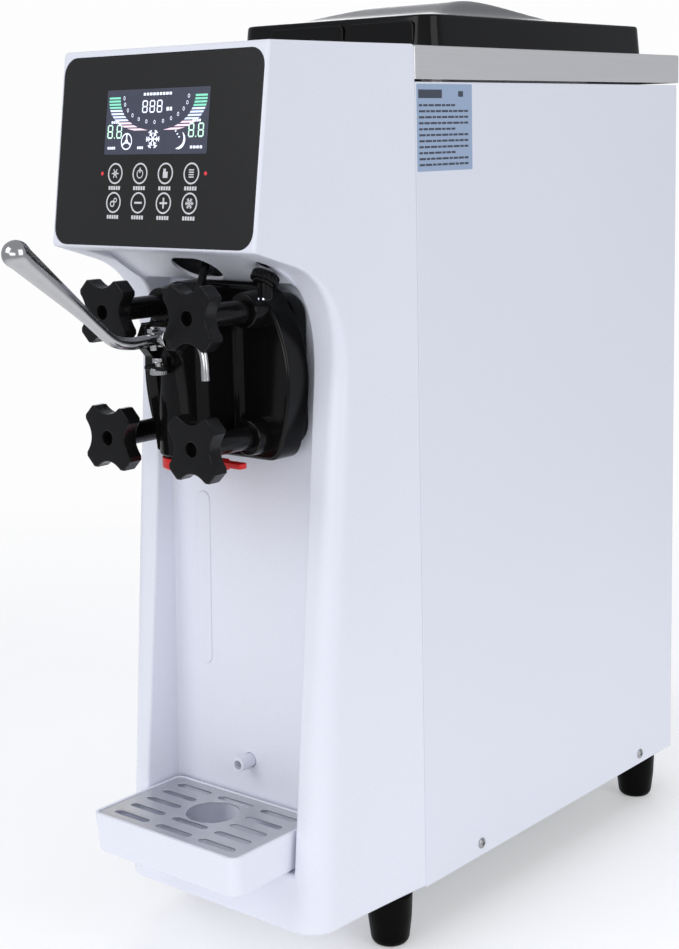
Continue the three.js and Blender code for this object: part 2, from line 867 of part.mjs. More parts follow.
function electricsBox() {
  const shell = box(-92, -20, 206, 290, 352, 460);
  const lip = box(-94, -18, 204, 292, 452, 458);
  const vents = [];
  for (let i = 0; i < 3; i += 1) {
    vents.push(box(-80, -32, 285, 296, 372 + i * 20, 378 + i * 20));
  }
  return vents.reduce((body, vent) => body.subtract(vent), shell.add(lip));
}

function runCapacitor() {
  const can = rodZ(20, 356, 436, 46, 244, 18);
  return join(can, box(38, 42, 242, 246, 435, 446), box(50, 54, 242, 246, 435, 446));
}

function cordGland() {
  const y0 = panelDepth + gap;
  const outside = y0 + sheet + gap;
  const { x, z } = glandPlace;
  const thread = rodY(8, y0 - 12, outside + 1, x, z, 12);
  const nut = rodY(12, outside, outside + 6, x, z, 6);
  const innerNut = rodY(12, y0 - 7, y0 - gap, x, z, 6);
  const cone = turnedY(
    [
      [0, outside + 5],
      [10, outside + 5],
      [7.5, rearLimit],
      [0, rearLimit],
    ],
    x,
    z,
    12,
  );
  return join(thread, nut, innerNut, cone).subtract(rodY(4.2, y0 - 20, rearLimit + 5, x, z, 10));
}

// ---------------------------------------------------------------- dispensing head

// The cover's barrel-shaped front view: wide at mid height, rounded at its corners.
function coverOutline(grow) {
  const shape = new THREE.Shape();
  const z = head.axisZ;
  shape.moveTo(-50 - grow, z - 62 - grow);
  shape.lineTo(50 + grow, z - 62 - grow);
  shape.quadraticCurveTo(63 + grow, z - 62 - grow, 66 + grow, z - 48);
  shape.quadraticCurveTo(82 + grow, z, 68 + grow, z + 38);
  shape.quadraticCurveTo(62 + grow, z + 61 + grow, 44 + grow, z + 61 + grow);
  shape.lineTo(-44 - grow, z + 61 + grow);
  shape.quadraticCurveTo(-62 - grow, z + 61 + grow, -68 - grow, z + 38);
  shape.quadraticCurveTo(-82 - grow, z, -66 - grow, z - 48);
  shape.quadraticCurveTo(-63 - grow, z - 62 - grow, -50 - grow, z - 62 - grow);
  return shape;
}

function valveOutline() {
  const shape = new THREE.Shape();
  shape.moveTo(head.valveRadius, head.front + 2);
  shape.lineTo(-head.valveRadius, head.front + 2);
  shape.lineTo(-head.valveRadius, head.valveY);
  shape.absarc(0, head.valveY, head.valveRadius, Math.PI, Math.PI * 2);
  return shape;
}

// One of the two upright ears that hold the handle's pin, with its slanted rib below.
function yokeEar(x0, x1) {
  const root = -134;
  const side = polygon([
    [root, yoke.top],
    [yoke.front, yoke.top],
    [yoke.front, pivot.z - 7],
    [yoke.ribTop, pivot.z - 14],
    [yoke.ribBottom, yoke.bottom],
    [root, yoke.bottom],
  ]);
  return slabX(side, x0, x1);
}

function dispensingHead() {
  const { axisZ, front, plateBack, back, valveY, boreRadius, valveTop, valveBottom } = head;
  const cover = slabY(coverOutline(0), front, plateBack, 3);
  const step = slabY(roundedRect(-66, 66, axisZ - 56, axisZ + 56, 10), plateBack - 1, back);
  const valve = slabZ(valveOutline(), valveBottom, valveTop, 5);
  const outlet = rodZ(19, valveBottom - 6, valveBottom + 1, 0, valveY, 20);
  const rightEar = yokeEar(yoke.inner, yoke.outer);
  const leftEar = yokeEar(-yoke.outer, -yoke.inner);
  let body = join(cover, step, valve, outlet, rightEar, leftEar);
  body = body.add(box(-11, 11, -160.5, -139, 442.5, 446));
  for (const [x, z] of knobCentres()) {
    body = body.add(rodY(12, front - 3, front + 1, x, z, 12));
    body = body.subtract(rodY(4.5, front - 9, back + 9, x, z, 8));
    body = body.subtract(knobRoom(x, z));
  }
  body = body.subtract(rodZ(boreRadius, valveBottom - 9, valveTop + 9, 0, valveY, 20));
  body = body.subtract(rodY(9, valveY, back + 9, 0, axisZ - 36, 14));
  body = body.subtract(box(-yoke.inner, yoke.inner, -170, -141.7, 446, 490));
  body = body.subtract(box(-5.6, 5.6, -150, valveY, 449, 490));
  body = body.subtract(rodX(3.3, -25, 25, pivot.y, pivot.z, 12));
  return body.subtract(rodZ(2.9, 430, 450, 0, adjuster.y, 12));
}

// The space that a knob's lobes sweep as it is turned.
function knobRoom(x, z) {
  return rodY(knob.turnRadius, knob.front - 1, knob.front + knob.thickness + 0.5, x, z, 24);
}

function headSeal() {
  const profile = [
    [cylinder.inner + 0.2, head.back + gap],
    [cylinder.outer + 2.6, head.back + gap],
    [cylinder.outer + 2.6, cylinder.front - gap],
    [cylinder.inner + 0.2, cylinder.front - gap],
    [cylinder.inner + 0.2, head.back + gap],
  ];
  return turnedY(profile, 0, head.axisZ, 20);
}

function valvePiston() {
  const { radius, top, bottom } = piston;
  const y = head.valveY;
  let body = rodZ(radius, bottom, top, 0, y, 20).add(rodZ(3.6, top - 1, top + 8.2, 0, y, 10));
  body = body.subtract(box(-5, 5, y - 20, y + 8, 450.4, 470));
  const low = ringGroove.z - ringGroove.height / 2;
  const high = ringGroove.z + ringGroove.height / 2;
  const outer = rodZ(radius + 2, low, high, 0, y, 20);
  const core = rodZ(radius - ringGroove.depth, low - 2, high + 2, 0, y, 20);
  return body.subtract(outer.subtract(core));
}

function pistonRing() {
  const middle = piston.radius - 0.7;
  const profile = [
    [middle - 1, ringGroove.z - 1.2],
    [middle + 0.8, ringGroove.z - 1.2],
    [middle + 0.8, ringGroove.z + 1.2],
    [middle - 1, ringGroove.z + 1.2],
    [middle - 1, ringGroove.z - 1.2],
  ];
  return turnedZ(profile, 0, head.valveY, 20);
}

// The handle: inner ball in the piston's slot, hub on the pin, bent rod, grip and ball end.
function drawHandle() {
  const rest = THREE.MathUtils.degToRad(18);
  const arm = 26;
  const ball = { y: pivot.y + arm * Math.cos(rest), z: pivot.z - arm * Math.sin(rest) };
  const innerArm = tube([[0, pivot.y, pivot.z], [0, ball.y, ball.z]], 3.2, 4, 1);
  const ballGeometry = new THREE.SphereGeometry(4.1, 8, 5);
  ballGeometry.translate(0, ball.y, ball.z);
  const outer = [
    [0, pivot.y + 2, pivot.z],
    [0, -166, 468.6],
    [0, -186, 470],
    [0, -196, 474.5],
    [0, -206, 486],
    [0, -222, 501],
    [0, -240, 515],
  ];
  const rod = tube(outer, 4.5, 4, 11);
  const grip = gripCone([0, -236, 512], [0, handleTip.y, handleTip.z], 4.7, 7.4);
  const tipGeometry = new THREE.SphereGeometry(handleTip.radius, 12, 6);
  tipGeometry.translate(0, handleTip.y, handleTip.z);
  const hub = rodX(7.5, -7.6, 7.6, pivot.y, pivot.z, 14);
  const body = join(innerArm, solid(ballGeometry), rod, grip, solid(tipGeometry), hub);
  return body.subtract(rodX(3.3, -12, 12, pivot.y, pivot.z, 12));
}

function gripCone(from, to, r0, r1) {
  const start = new THREE.Vector3(...from);
  const end = new THREE.Vector3(...to);
  const geometry = new THREE.CylinderGeometry(r1, r0, start.distanceTo(end), 12);
  const turn = new THREE.Quaternion().setFromUnitVectors(
    new THREE.Vector3(0, 1, 0),
    end.clone().sub(start).normalize(),
  );
  geometry.applyQuaternion(turn);
  const middle = start.add(end).multiplyScalar(0.5);
  geometry.translate(middle.x, middle.y, middle.z);
  return solid(geometry);
}

function handlePin() {
  const { y, z, pinRadius } = pivot;
  const route = [
    [-21, y, z],
    [-6, y, z],
    [12, y, z],
    [30, y, z - 0.4],
    [37.5, y, z - 7],
    [39.5, y, z - 16],
    [40, y, z - 27],
  ];
  return tube(route, pinRadius, 4, 14);
}

function adjustingScrew() {
  const { y, bottom, top } = adjuster;
  const shank = rodZ(2.4, bottom, top, 0, y, 10);
  const knurled = rodZ(adjuster.nutRadius, bottom, bottom + 4.6, 0, y, 12);
  return join(shank, knurled, rodZ(4.2, top - 3, top, 0, y, 6));
}

function adjusterSpring() {
  const points = [];
  const turns = 2.2;
  const samples = 16;
  for (let i = 0; i <= samples; i += 1) {
    const angle = (i / samples) * turns * Math.PI * 2;
    const z = 447.1 + (3.8 * i) / samples;
    points.push([3.7 * Math.cos(angle), adjuster.y + 3.7 * Math.sin(angle), z]);
  }
  return tube(points, 0.55, 2, 20);
}

// A knob's front view: four broad lobes on the diagonals, scalloped between them.
function starOutline() {
  const reach = 25;
  const halfEnd = 6.6;
  const waist = 16.2;
  const shape = new THREE.Shape();
  for (let lobe = 0; lobe < 4; lobe += 1) {
    const middle = Math.PI / 4 + (lobe * Math.PI) / 2;
    const along = [Math.cos(middle), Math.sin(middle)];
    const across = [-along[1], along[0]];
    const start = [along[0] * reach - across[0] * halfEnd, along[1] * reach - across[1] * halfEnd];
    const end = [along[0] * reach + across[0] * halfEnd, along[1] * reach + across[1] * halfEnd];
    if (lobe === 0) {
      shape.moveTo(...start);
    }
    shape.lineTo(...end);
    const nextAxis = middle + Math.PI / 4;
    const edge = end[0] * Math.cos(nextAxis) + end[1] * Math.sin(nextAxis);
    const pull = 2 * waist - edge;
    const nextStart = [
      2 * edge * Math.cos(nextAxis) - end[0],
      2 * edge * Math.sin(nextAxis) - end[1],
    ];
    shape.quadraticCurveTo(pull * Math.cos(nextAxis), pull * Math.sin(nextAxis), ...nextStart);
  }
  return shape;
}

function starKnob(x, z) {
  const star = slabY(starOutline(), knob.front, knob.front + knob.thickness, 3);
  const hub = rodY(knob.hubRadius, knob.front + 5, head.front - 3 - gap, 0, 0, 12);
  const socket = rodY(4.8, knob.front - 5, knob.front + 8, 0, 0, 8);
  const thread = rodY(4.4, knob.front + 14, head.front + 5, 0, 0, 8);
  return star.add(hub).subtract(socket).subtract(thread).translate([x, 0, z]);
}

function headStud(x, z) {
  const shank = rodY(3.9, knob.front + 16, -54, x, z, 8);
  return shank.add(rodY(7, -56.2, -51, x, z, 6));
}

function nozzleCap() {
  const y = head.valveY;
  const top = head.valveBottom - 1;
  const bottom = nozzle.capBottom;
  const lip = rodZ(nozzle.capRadius, top - 6, top - 1, 0, y, 20);
  const cup = rodZ(nozzle.capRadius - 1.9, bottom, top - 2, 0, y, 20).add(lip);
  const tab = slabZ(roundedRect(20, 48, y - 4, y + 4, 2.5), top - 6, top - 2, 2);
  const leftTab = slabZ(roundedRect(-33, -20, y - 4, y + 4, 2.5), top - 6, top - 2, 2);
  return join(cup, tab, leftTab).subtract(rodZ(19.5, bottom + 4, top + 5, 0, y, 20));
}

// --------------------------------------------------- switch, lamp, drain, drip tray

function switchLever() {
  const { x, y, z } = switchPivot;
  const side = polygon([
    [y - 3, z + 3],
    [y - 4.5, z - 2],
    [-125.5, 487.8],
    [-119, 487.6],
    [y + 3, z - 3],
    [y + 3, z + 2],
  ]);
  const blade = slabX(side, x - 4, x + 4);
  return blade.subtract(rodX(1.7, x - 9, x + 9, y, z, 8));
}

function microswitch() {
  const { x, y, z } = switchPivot;
  const body = box(x - 14, x + 14, y - 16, y + 6, z + 8, z + 26);
  const pin = rodX(1.4, x - 13, x + 13, y, z, 8);
  const leftCheek = box(x - 14, x - 10, y - 5, y + 5, z - 3, z + 9);
  const rightCheek = box(x + 10, x + 14, y - 5, y + 5, z - 3, z + 9);
  return join(body, pin, leftCheek, rightCheek);
}

function workLamp() {
  const { x, y } = lampPlace;
  const stem = rodZ(5.5, 500, 522, x, y, 12);
  const nut = rodZ(11.5, 501, 509.5, x, y, 12);
  return join(stem, nut, rodZ(5, 492, 502, x, y, 12));
}

function drainSpout() {
  const pipe = rodY(5.4, -89, -52, 0, drainZ, 14);
  const collar = rodY(9, -60, -54, 0, drainZ, 14);
  return pipe.add(collar).subtract(rodY(3.6, -95, -45, 0, drainZ, 12));
}

function dripTray() {
  const { halfWidth, front, back, height, corner, wall } = tray;
  const z0 = bay.floor + gap;
  const z1 = z0 + height;
  const upper = roundedRect(-halfWidth, halfWidth, front, back, corner);
  const middle = roundedRect(-halfWidth + 2, halfWidth - 2, front + 2, back - 2, corner);
  const lower = roundedRect(-halfWidth + 8, halfWidth - 8, front + 8, back - 8, corner);
  const base = join(slabZ(middle, z0 + 3, z0 + 9), slabZ(lower, z0, z0 + 4));
  const outer = slabZ(upper, z0 + 8, z1).add(base);
  const seat = roundedRect(-halfWidth + 3, halfWidth - 3, front + 3, back - 3, corner - 3);
  const inside = roundedRect(-halfWidth + 9, halfWidth - 9, front + 9, back - 9, corner - 4);
  return outer
    .subtract(slabZ(seat, z1 - 2.7, z1 + 5))
    .subtract(slabZ(inside, z0 + wall, z1 + 5));
}

function dripGrille() {
  const { halfWidth, front, back, height, corner } = tray;
  const edge = 3.5;
  const z1 = bay.floor + gap + height - 1.1;
  const z0 = z1 - 1.2;
  const half = halfWidth - edge;
  const outline = roundedRect(-half, half, front + edge, back - edge, corner - edge);
  let body = slabZ(outline, z0, z1);
  const { rows, rowPitch, columnPitch, slotLength, slotWidth } = grille;
  const middleY = (front + back) / 2;
  for (let row = 0; row < rows; row += 1) {
    const y = middleY + (row - (rows - 1) / 2) * rowPitch;
    for (const column of [-1, 0, 1]) {
      const x = column * columnPitch;
      const underCupHole = column === 0 && (row === 2 || row === 3);
      if (!underCupHole) {
        const endX = slotLength / 2;
        const endY = slotWidth / 2;
        const slot = roundedRect(x - endX, x + endX, y - endY, y + endY, endY - 0.1);
        body = body.subtract(slabZ(slot, z0 - 5, z1 + 5, 1));
      }
    }
  }
  return body.subtract(rodZ(cupHoleRadius, z0 - 5, z1 + 5, 0, middleY + rowPitch / 2, 24));
}

// ------------------------------------------------------------------------ assembly

place("base_pan", basePan(), finishes.galvanised);
place("right_side_panel", sidePanel(1), finishes.whitePaint);
place("left_side_panel", sidePanel(-1), finishes.whitePaint);
place("rear_panel", rearPanel(), finishes.whitePaint);
place("top_rim", topRim(), finishes.stainless);
place("front_fascia", frontFascia(), finishes.whitePlastic);
place("control_glass", controlGlass(), finishes.glass);
place("display_module", displayModule(), finishes.display);
place("control_board", controlBoard(), finishes.board);

for (const [corner, [x, y]] of Object.entries(footPlaces)) {
  place(`foot_${corner}`, foot(x, y), finishes.rubber);
}

place("hopper", hopperBody(), finishes.stainless);
place("hopper_lid", hopperLid(), finishes.blackPlastic);
place("air_tube", airTube(), finishes.beaterPlastic);

place("freezing_cylinder", freezingCylinder(), finishes.stainless);
place("cylinder_insulation", cylinderInsulation(), finishes.foam);
place("beater", beater(), finishes.stainless);
place("shaft_seal", shaftSeal(), finishes.rubber);

place("gearbox", gearbox(), finishes.aluminium);
place("beater_motor", beaterMotor(), finishes.compressorPaint);
place("drive_frame", driveFrame(), finishes.galvanised);
place("driven_pulley", pulley(pulleyRadius.driven, 7.4, head.axisZ), finishes.aluminium);
place("motor_pulley", pulley(pulleyRadius.motor, 6.4, drive.motorZ), finishes.aluminium);
place("drive_belt", driveBelt(), finishes.rubber);

place("compressor", compressor(), finishes.compressorPaint);
place("condenser", condenser(), finishes.aluminium);
place("fan_shroud", fanShroud(), finishes.galvanised);
place("fan_motor", fanMotor(), finishes.compressorPaint);
place("fan_blade", fanBlade(), finishes.aluminium);
place("discharge_pipe", dischargePipe(), finishes.copper);
place("suction_pipe", suctionPipe(), finishes.copper);
place("filter_drier", filterDrier(), finishes.copper);

place("electrics_box", electricsBox(), finishes.satinBlack);
place("run_capacitor", runCapacitor(), finishes.aluminium);
place("cord_gland", cordGland(), finishes.satinBlack);

place("dispensing_head", dispensingHead(), finishes.blackPlastic);
place("head_seal", headSeal(), finishes.seal);
place("valve_piston", valvePiston(), finishes.beaterPlastic);
place("piston_ring", pistonRing(), finishes.rubber);
place("draw_handle", drawHandle(), finishes.chrome);
place("handle_pin", handlePin(), finishes.chrome);
place("adjusting_screw", adjustingScrew(), finishes.chrome);
place("adjuster_spring", adjusterSpring(), finishes.chrome);

const knobNames = ["upper_left", "upper_right", "lower_left", "lower_right"];
knobCentres().forEach(([x, z], i) => {
  place(`star_knob_${knobNames[i]}`, starKnob(x, z), finishes.satinBlack);
  place(`head_stud_${knobNames[i]}`, headStud(x, z), finishes.chrome);
});

place("nozzle_cap", nozzleCap(), finishes.red);
place("switch_lever", switchLever(), finishes.satinBlack);
place("microswitch", microswitch(), finishes.satinBlack);
place("work_lamp", workLamp(), finishes.satinBlack);
place("drain_spout", drainSpout(), finishes.whitePlastic);
place("drip_tray", dripTray(), finishes.whitePlastic);
place("drip_grille", dripGrille(), finishes.stainless);

export default machine;
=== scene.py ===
import json
from math import acos, atan2, cos, dist, exp, log, pi, radians, sin, sqrt, tan

import bmesh
import bpy
from mathutils import Matrix, Vector

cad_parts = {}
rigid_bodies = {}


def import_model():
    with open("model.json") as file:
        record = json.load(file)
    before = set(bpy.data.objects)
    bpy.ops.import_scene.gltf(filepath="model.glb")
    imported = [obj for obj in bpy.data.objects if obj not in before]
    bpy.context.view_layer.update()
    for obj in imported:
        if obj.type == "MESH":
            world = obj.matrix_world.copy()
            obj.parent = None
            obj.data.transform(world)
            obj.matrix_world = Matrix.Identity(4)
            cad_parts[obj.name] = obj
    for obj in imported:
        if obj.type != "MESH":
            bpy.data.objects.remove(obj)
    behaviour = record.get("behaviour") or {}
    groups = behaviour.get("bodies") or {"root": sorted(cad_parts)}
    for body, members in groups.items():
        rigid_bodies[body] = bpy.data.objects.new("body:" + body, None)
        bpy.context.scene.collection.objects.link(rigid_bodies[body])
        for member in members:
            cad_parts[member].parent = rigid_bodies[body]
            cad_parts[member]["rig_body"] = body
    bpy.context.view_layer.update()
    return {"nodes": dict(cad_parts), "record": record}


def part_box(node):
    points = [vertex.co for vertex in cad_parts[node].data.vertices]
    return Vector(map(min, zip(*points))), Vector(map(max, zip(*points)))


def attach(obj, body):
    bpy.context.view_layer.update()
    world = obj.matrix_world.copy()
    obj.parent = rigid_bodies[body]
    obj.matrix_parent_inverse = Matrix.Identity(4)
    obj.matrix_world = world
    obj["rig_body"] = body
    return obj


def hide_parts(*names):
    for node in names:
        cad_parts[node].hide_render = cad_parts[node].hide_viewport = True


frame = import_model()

# Meshes are drawn in millimetres in the machine's own frame, and make_piece moves them into
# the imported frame, in metres. X is to the right, Z is up from the surface under the feet, and
# y = 0 is the seam between the front fascia and the side panels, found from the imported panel.

MM = 0.001
GAP = 0.3
SEAM_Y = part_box("right_side_panel")[0].y - GAP * MM


def box_mm(node):
    """A CAD node's lowest and highest corners in the machine's own frame."""
    low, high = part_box(node)
    shift = Vector((0, SEAM_Y, 0))
    return (low - shift) / MM, (high - shift) / MM


def new_object(name, data):
    """Puts an object with this data into the scene."""
    thing = bpy.data.objects.new(name, data)
    bpy.context.scene.collection.objects.link(thing)
    return thing


# ---- camera

CAMERA_PLACE = Vector((0.8451, -1.0280, 0.6067))
CAMERA_AZIMUTH = radians(39.91)
CAMERA_ELEVATION = radians(8.945)
CAMERA_ROLL = radians(-1.24)
LENS = 64.76
SHIFT_UP = -0.0785


def make_camera():
    data = bpy.data.cameras.new("camera")
    camera = new_object("camera", data)
    turn = Matrix.Rotation(CAMERA_AZIMUTH, 4, "Z")
    tilt = Matrix.Rotation(pi / 2 - CAMERA_ELEVATION, 4, "X")
    roll = Matrix.Rotation(CAMERA_ROLL, 4, "Z")
    camera.matrix_world = Matrix.Translation(CAMERA_PLACE) @ turn @ tilt @ roll
    data.lens = LENS
    data.sensor_width = 36
    data.shift_y = SHIFT_UP
    data.clip_end = 20
    bpy.context.scene.camera = camera


make_camera()

# ---- materials


def set_inputs(node, values):
    for key, value in values.items():
        node.inputs[key].default_value = value


class Nodes:
    """A material's node tree with its texture coordinates ready to use."""

    def __init__(self, name):
        self.material = bpy.data.materials.new(name)
        self.material.use_nodes = True
        self.tree = self.material.node_tree
        self.shader = self.tree.nodes["Principled BSDF"]
        self.where = self.tree.nodes.new("ShaderNodeTexCoord").outputs["Object"]

    def link(self, source, target):
        self.tree.links.new(source, target)

    def add(self, kind, inputs, **settings):
        node = self.tree.nodes.new(kind)
        for key, value in settings.items():
            setattr(node, key, value)
        set_inputs(node, inputs)
        return node

    def noise(self, scale, detail=3.0, stretch=(1, 1, 1)):
        mapping = self.add("ShaderNodeMapping", {"Scale": stretch})
        self.link(self.where, mapping.inputs["Vector"])
        noise = self.add("ShaderNodeTexNoise", {"Scale": scale, "Detail": detail})
        self.link(mapping.outputs["Vector"], noise.inputs["Vector"])
        return noise.outputs["Fac"]

    def ranged(self, source, start, end, low, high, **settings):
        """The source's values from start to end, stretched onto low to high."""
        limits = {"From Min": start, "From Max": end, "To Min": low, "To Max": high}
        node = self.add("ShaderNodeMapRange", limits, **settings)
        self.link(source, node.inputs["Value"])
        return node.outputs["Result"]

    def colour(self, factor, first, second):
        """Paints the surface with a mix of two colours."""
        mixed = self.add("ShaderNodeMix", {"A": (*first, 1), "B": (*second, 1)}, data_type="RGBA")
        self.link(factor, mixed.inputs["Factor"])
        self.link(mixed.outputs["Result"], self.shader.inputs["Base Color"])
        return mixed.outputs["Result"]

    def gloss(self, noise, low, high):
        roughness = self.ranged(noise, *NOISE_MIDDLE, low, high)
        self.link(roughness, self.shader.inputs["Roughness"])

    def bump(self, height, strength, distance):
        node = self.add("ShaderNodeBump", {"Strength": strength, "Distance": distance})
        self.link(height, node.inputs["Height"])
        self.link(node.outputs["Normal"], self.shader.inputs["Normal"])


FINISHES = {}  # filled by name, below
NOISE_MIDDLE = (0.3, 0.7)  # where most of a noise texture's values lie
GRAIN_HEIGHT = 0.0004


def shade(colour, amount):
    return tuple(min(1.0, c * amount) for c in colour)


def finish(name, colour, roughness, metallic=0.0, grain=900, depth=0.02, variation=0.04,
           rough_spread=0.05, stretch=(1, 1, 1), cloud=18, specular=0.5):
    """One procedural finish: clouded colour, uneven gloss and a fine surface grain."""
    nodes = Nodes(name)
    set_inputs(nodes.shader, {"Metallic": metallic, "Specular IOR Level": specular})
    clouds = nodes.noise(cloud, 4.0, stretch)
    nodes.colour(clouds, shade(colour, 1 - variation), shade(colour, 1 + variation))
    fine = nodes.noise(grain, 3.0, stretch)
    nodes.gloss(fine, max(0.0, roughness - rough_spread), roughness + rough_spread)
    nodes.bump(fine, depth, GRAIN_HEIGHT)
    FINISHES[name] = nodes.material


def glowing(name, colour, strength):
    """A lit or printed mark: its colour with a little light of its own."""
    nodes = Nodes(name)
    flicker = nodes.noise(260, 2.0)
    tint = nodes.colour(flicker, shade(colour, 0.94), shade(colour, 1.06))
    nodes.link(tint, nodes.shader.inputs["Emission Color"])
    set_inputs(nodes.shader, {"Emission Strength": strength})
    nodes.gloss(flicker, 0.3, 0.4)
    FINISHES[name] = nodes.material


ALONG = (1, 0.004, 1)  # brushing that runs front to back
ACROSS = (0.02, 1, 1)  # brushing that runs side to side

WHITE = (0.79, 0.81, 0.90)
BLACK = (0.0042, 0.0042, 0.0045)

finish("white_plastic", WHITE, 0.3, grain=1500, depth=0.03, variation=0.012)
finish("white_paint", (0.765, 0.79, 0.88), 0.42, grain=1100, depth=0.1, variation=0.012, cloud=6)
finish("stainless", (0.88, 0.88, 0.885), 0.36, 1.0, grain=2600, depth=0.03, variation=0.05,
       stretch=ALONG, cloud=1800)
finish("brushed_across", (0.6, 0.6, 0.62), 0.36, 1.0, grain=1500, depth=0.1, variation=0.07,
       rough_spread=0.08, stretch=ACROSS, cloud=900)
finish("galvanised", (0.42, 0.45, 0.47), 0.48, 1.0, grain=140, depth=0.1, variation=0.2, cloud=60)
finish("chrome", (0.5, 0.5, 0.51), 0.17, 1.0, grain=700, depth=0.01, variation=0.03)
finish("screw_zinc", (0.42, 0.42, 0.43), 0.35, 1.0, variation=0.12, cloud=300)
finish("copper", (0.72, 0.33, 0.19), 0.28, 1.0, variation=0.12, cloud=40)
finish("aluminium", (0.55, 0.57, 0.59), 0.4, 1.0, variation=0.06)
finish("black_gloss", BLACK, 0.13, grain=1200, depth=0.012, variation=0.2, rough_spread=0.03,
       specular=0.2)
finish("black_satin", (0.0055, 0.0055, 0.006), 0.24, grain=1400, depth=0.03, variation=0.2,
       specular=0.2)
finish("black_paint", (0.012, 0.012, 0.013), 0.45, depth=0.1, variation=0.2)
finish("rubber", (0.0014, 0.0014, 0.0014), 0.35, grain=1600, depth=0.1, variation=0.25,
       specular=0.06)
finish("seal", (0.55, 0.58, 0.6), 0.6, variation=0.05)
finish("foam", (0.75, 0.68, 0.42), 0.9, grain=500, depth=0.5, variation=0.1)
finish("panel_glass", (0.0165, 0.0165, 0.0168), 0.2, grain=300, depth=0.0, variation=0.05,
       rough_spread=0.02, specular=0.28)
finish("display", (0.03, 0.05, 0.11), 0.3, variation=0.1)
finish("board", (0.02, 0.16, 0.06), 0.5, variation=0.2, cloud=120)
finish("red_plastic", (0.62, 0.012, 0.012), 0.3, variation=0.08)
finish("food_plastic", (0.83, 0.8, 0.72), 0.4, variation=0.04)
finish("label_blue", (0.33, 0.43, 0.6), 0.5, variation=0.02)
finish("label_ink", (0.05, 0.06, 0.09), 0.5, variation=0.1)

glowing("print_white", (0.62, 0.63, 0.66), 0.08)
glowing("lit_white", (0.74, 0.8, 0.95), 0.75)
glowing("lit_blue", (0.6, 0.68, 0.9), 0.65)
glowing("lit_green", (0.2, 0.62, 0.45), 0.6)
glowing("lit_pink", (0.8, 0.6, 0.72), 0.65)
glowing("lit_mint", (0.55, 0.85, 0.68), 0.65)
glowing("lit_red", (0.55, 0.03, 0.04), 0.6)
glowing("lcd_backlight", (0.036, 0.04, 0.068), 0.3)

# ---- flat outlines


def rect(u0, u1, v0, v1):
    return [(u0, v0), (u1, v0), (u1, v1), (u0, v1)]


def circle(u, v, radius, sides=32):
    turn = 2 * pi / sides
    return [(u + radius * cos(i * turn), v + radius * sin(i * turn)) for i in range(sides)]


def rounded(points, radius, steps=6):
    """A counter-clockwise polygon with round corners; radius is one number or one a corner."""
    radii = radius if isinstance(radius, (list, tuple)) else [radius] * len(points)
    loop = []
    for i, corner in enumerate(points):
        here = Vector(corner)
        back = (Vector(points[i - 1]) - here).normalized()
        ahead = (Vector(points[(i + 1) % len(points)]) - here).normalized()
        half = acos(max(-1, min(1, back.dot(ahead)))) / 2
        if radii[i] <= 0 or half > pi / 2 - 1e-3:
            loop.append(tuple(here))
            continue
        centre = here + (back + ahead).normalized() * (radii[i] / sin(half))
        start = here + back * (radii[i] / tan(half)) - centre
        end = here + ahead * (radii[i] / tan(half)) - centre
        sweep = atan2(start.x * end.y - start.y * end.x, start.dot(end))
        for step in range(steps + 1):
            turn = Matrix.Rotation(sweep * step / steps, 2)
            loop.append(tuple(centre + turn @ start))
    return loop


def rounded_rect(u0, u1, v0, v1, radius, steps=6):
    return rounded(rect(u0, u1, v0, v1), radius, steps)


def stadium(u0, u1, v0, v1, steps=8):
    radius = min(u1 - u0, v1 - v0) / 2 - 0.01
    return rounded_rect(u0, u1, v0, v1, radius, steps)


def curve(start, control, end, steps):
    """Points of a quadratic curve, without its first point."""
    points = []
    for step in range(1, steps + 1):
        t = step / steps
        a, b, c = (1 - t) ** 2, 2 * t * (1 - t), t * t
        points.append(tuple(a * s + b * m + c * e for s, m, e in zip(start, control, end)))
    return points


def quarter(steps):
    """The sines and cosines of evenly spaced angles, from level to upright."""
    return [(sin(i / steps * pi / 2), cos(i / steps * pi / 2)) for i in range(steps + 1)]


def ribbed(u, v, radius, height, ribs, sides):
    """A round outline with shallow ribs all round it."""
    loop = []
    for i in range(sides):
        angle = i / sides * 2 * pi
        size = radius + height * cos(ribs * angle)
        loop.append((u + size * cos(angle), v + size * sin(angle)))
    return loop


def offset_loop(loop, inset):
    """A counter-clockwise outline moved inward, with its corners kept sharp."""
    if inset == 0:
        return list(loop)
    moved = []
    for i, here in enumerate(loop):
        before, after = loop[i - 1], loop[(i + 1) % len(loop)]
        along_in = (Vector(here) - Vector(before)).normalized()
        along_out = (Vector(after) - Vector(here)).normalized()
        first = Vector((-along_in.y, along_in.x))
        second = Vector((-along_out.y, along_out.x))
        push = (first + second) * (inset / max(0.3, 1 + first.dot(second)))
        moved.append((here[0] + push.x, here[1] + push.y))
    return moved


# ---- where an outline's points go


def upward(u, v, w):
    return (u, v, w)


def facing(u, v, w):
    """An outline seen from the front, with depth going back."""
    return (u, w, v)


def sideways(u, v, w):
    """An outline in (y, z), with depth to the right."""
    return (w, u, v)


# ---- mesh builders


def ring(bm, loop, put, w):
    return [bm.verts.new(put(u, v, w)) for u, v in loop]


def band(bm, first, second):
    for i in range(len(first)):
        j = (i + 1) % len(first)
        bm.faces.new((first[i], first[j], second[j], second[i]))


def cap(bm, rings):
    """Fills a flat outline, minus the holes that follow it in the list."""
    if len(rings) == 1:
        bm.faces.new(rings[0])
        return
    edges = []
    for loop in rings:
        for i, vert in enumerate(loop):
            pair = (vert, loop[(i + 1) % len(loop)])
            edges.append(bm.edges.get(pair) or bm.edges.new(pair))
    bmesh.ops.triangle_fill(bm, use_beauty=True, use_dissolve=False, edges=edges)


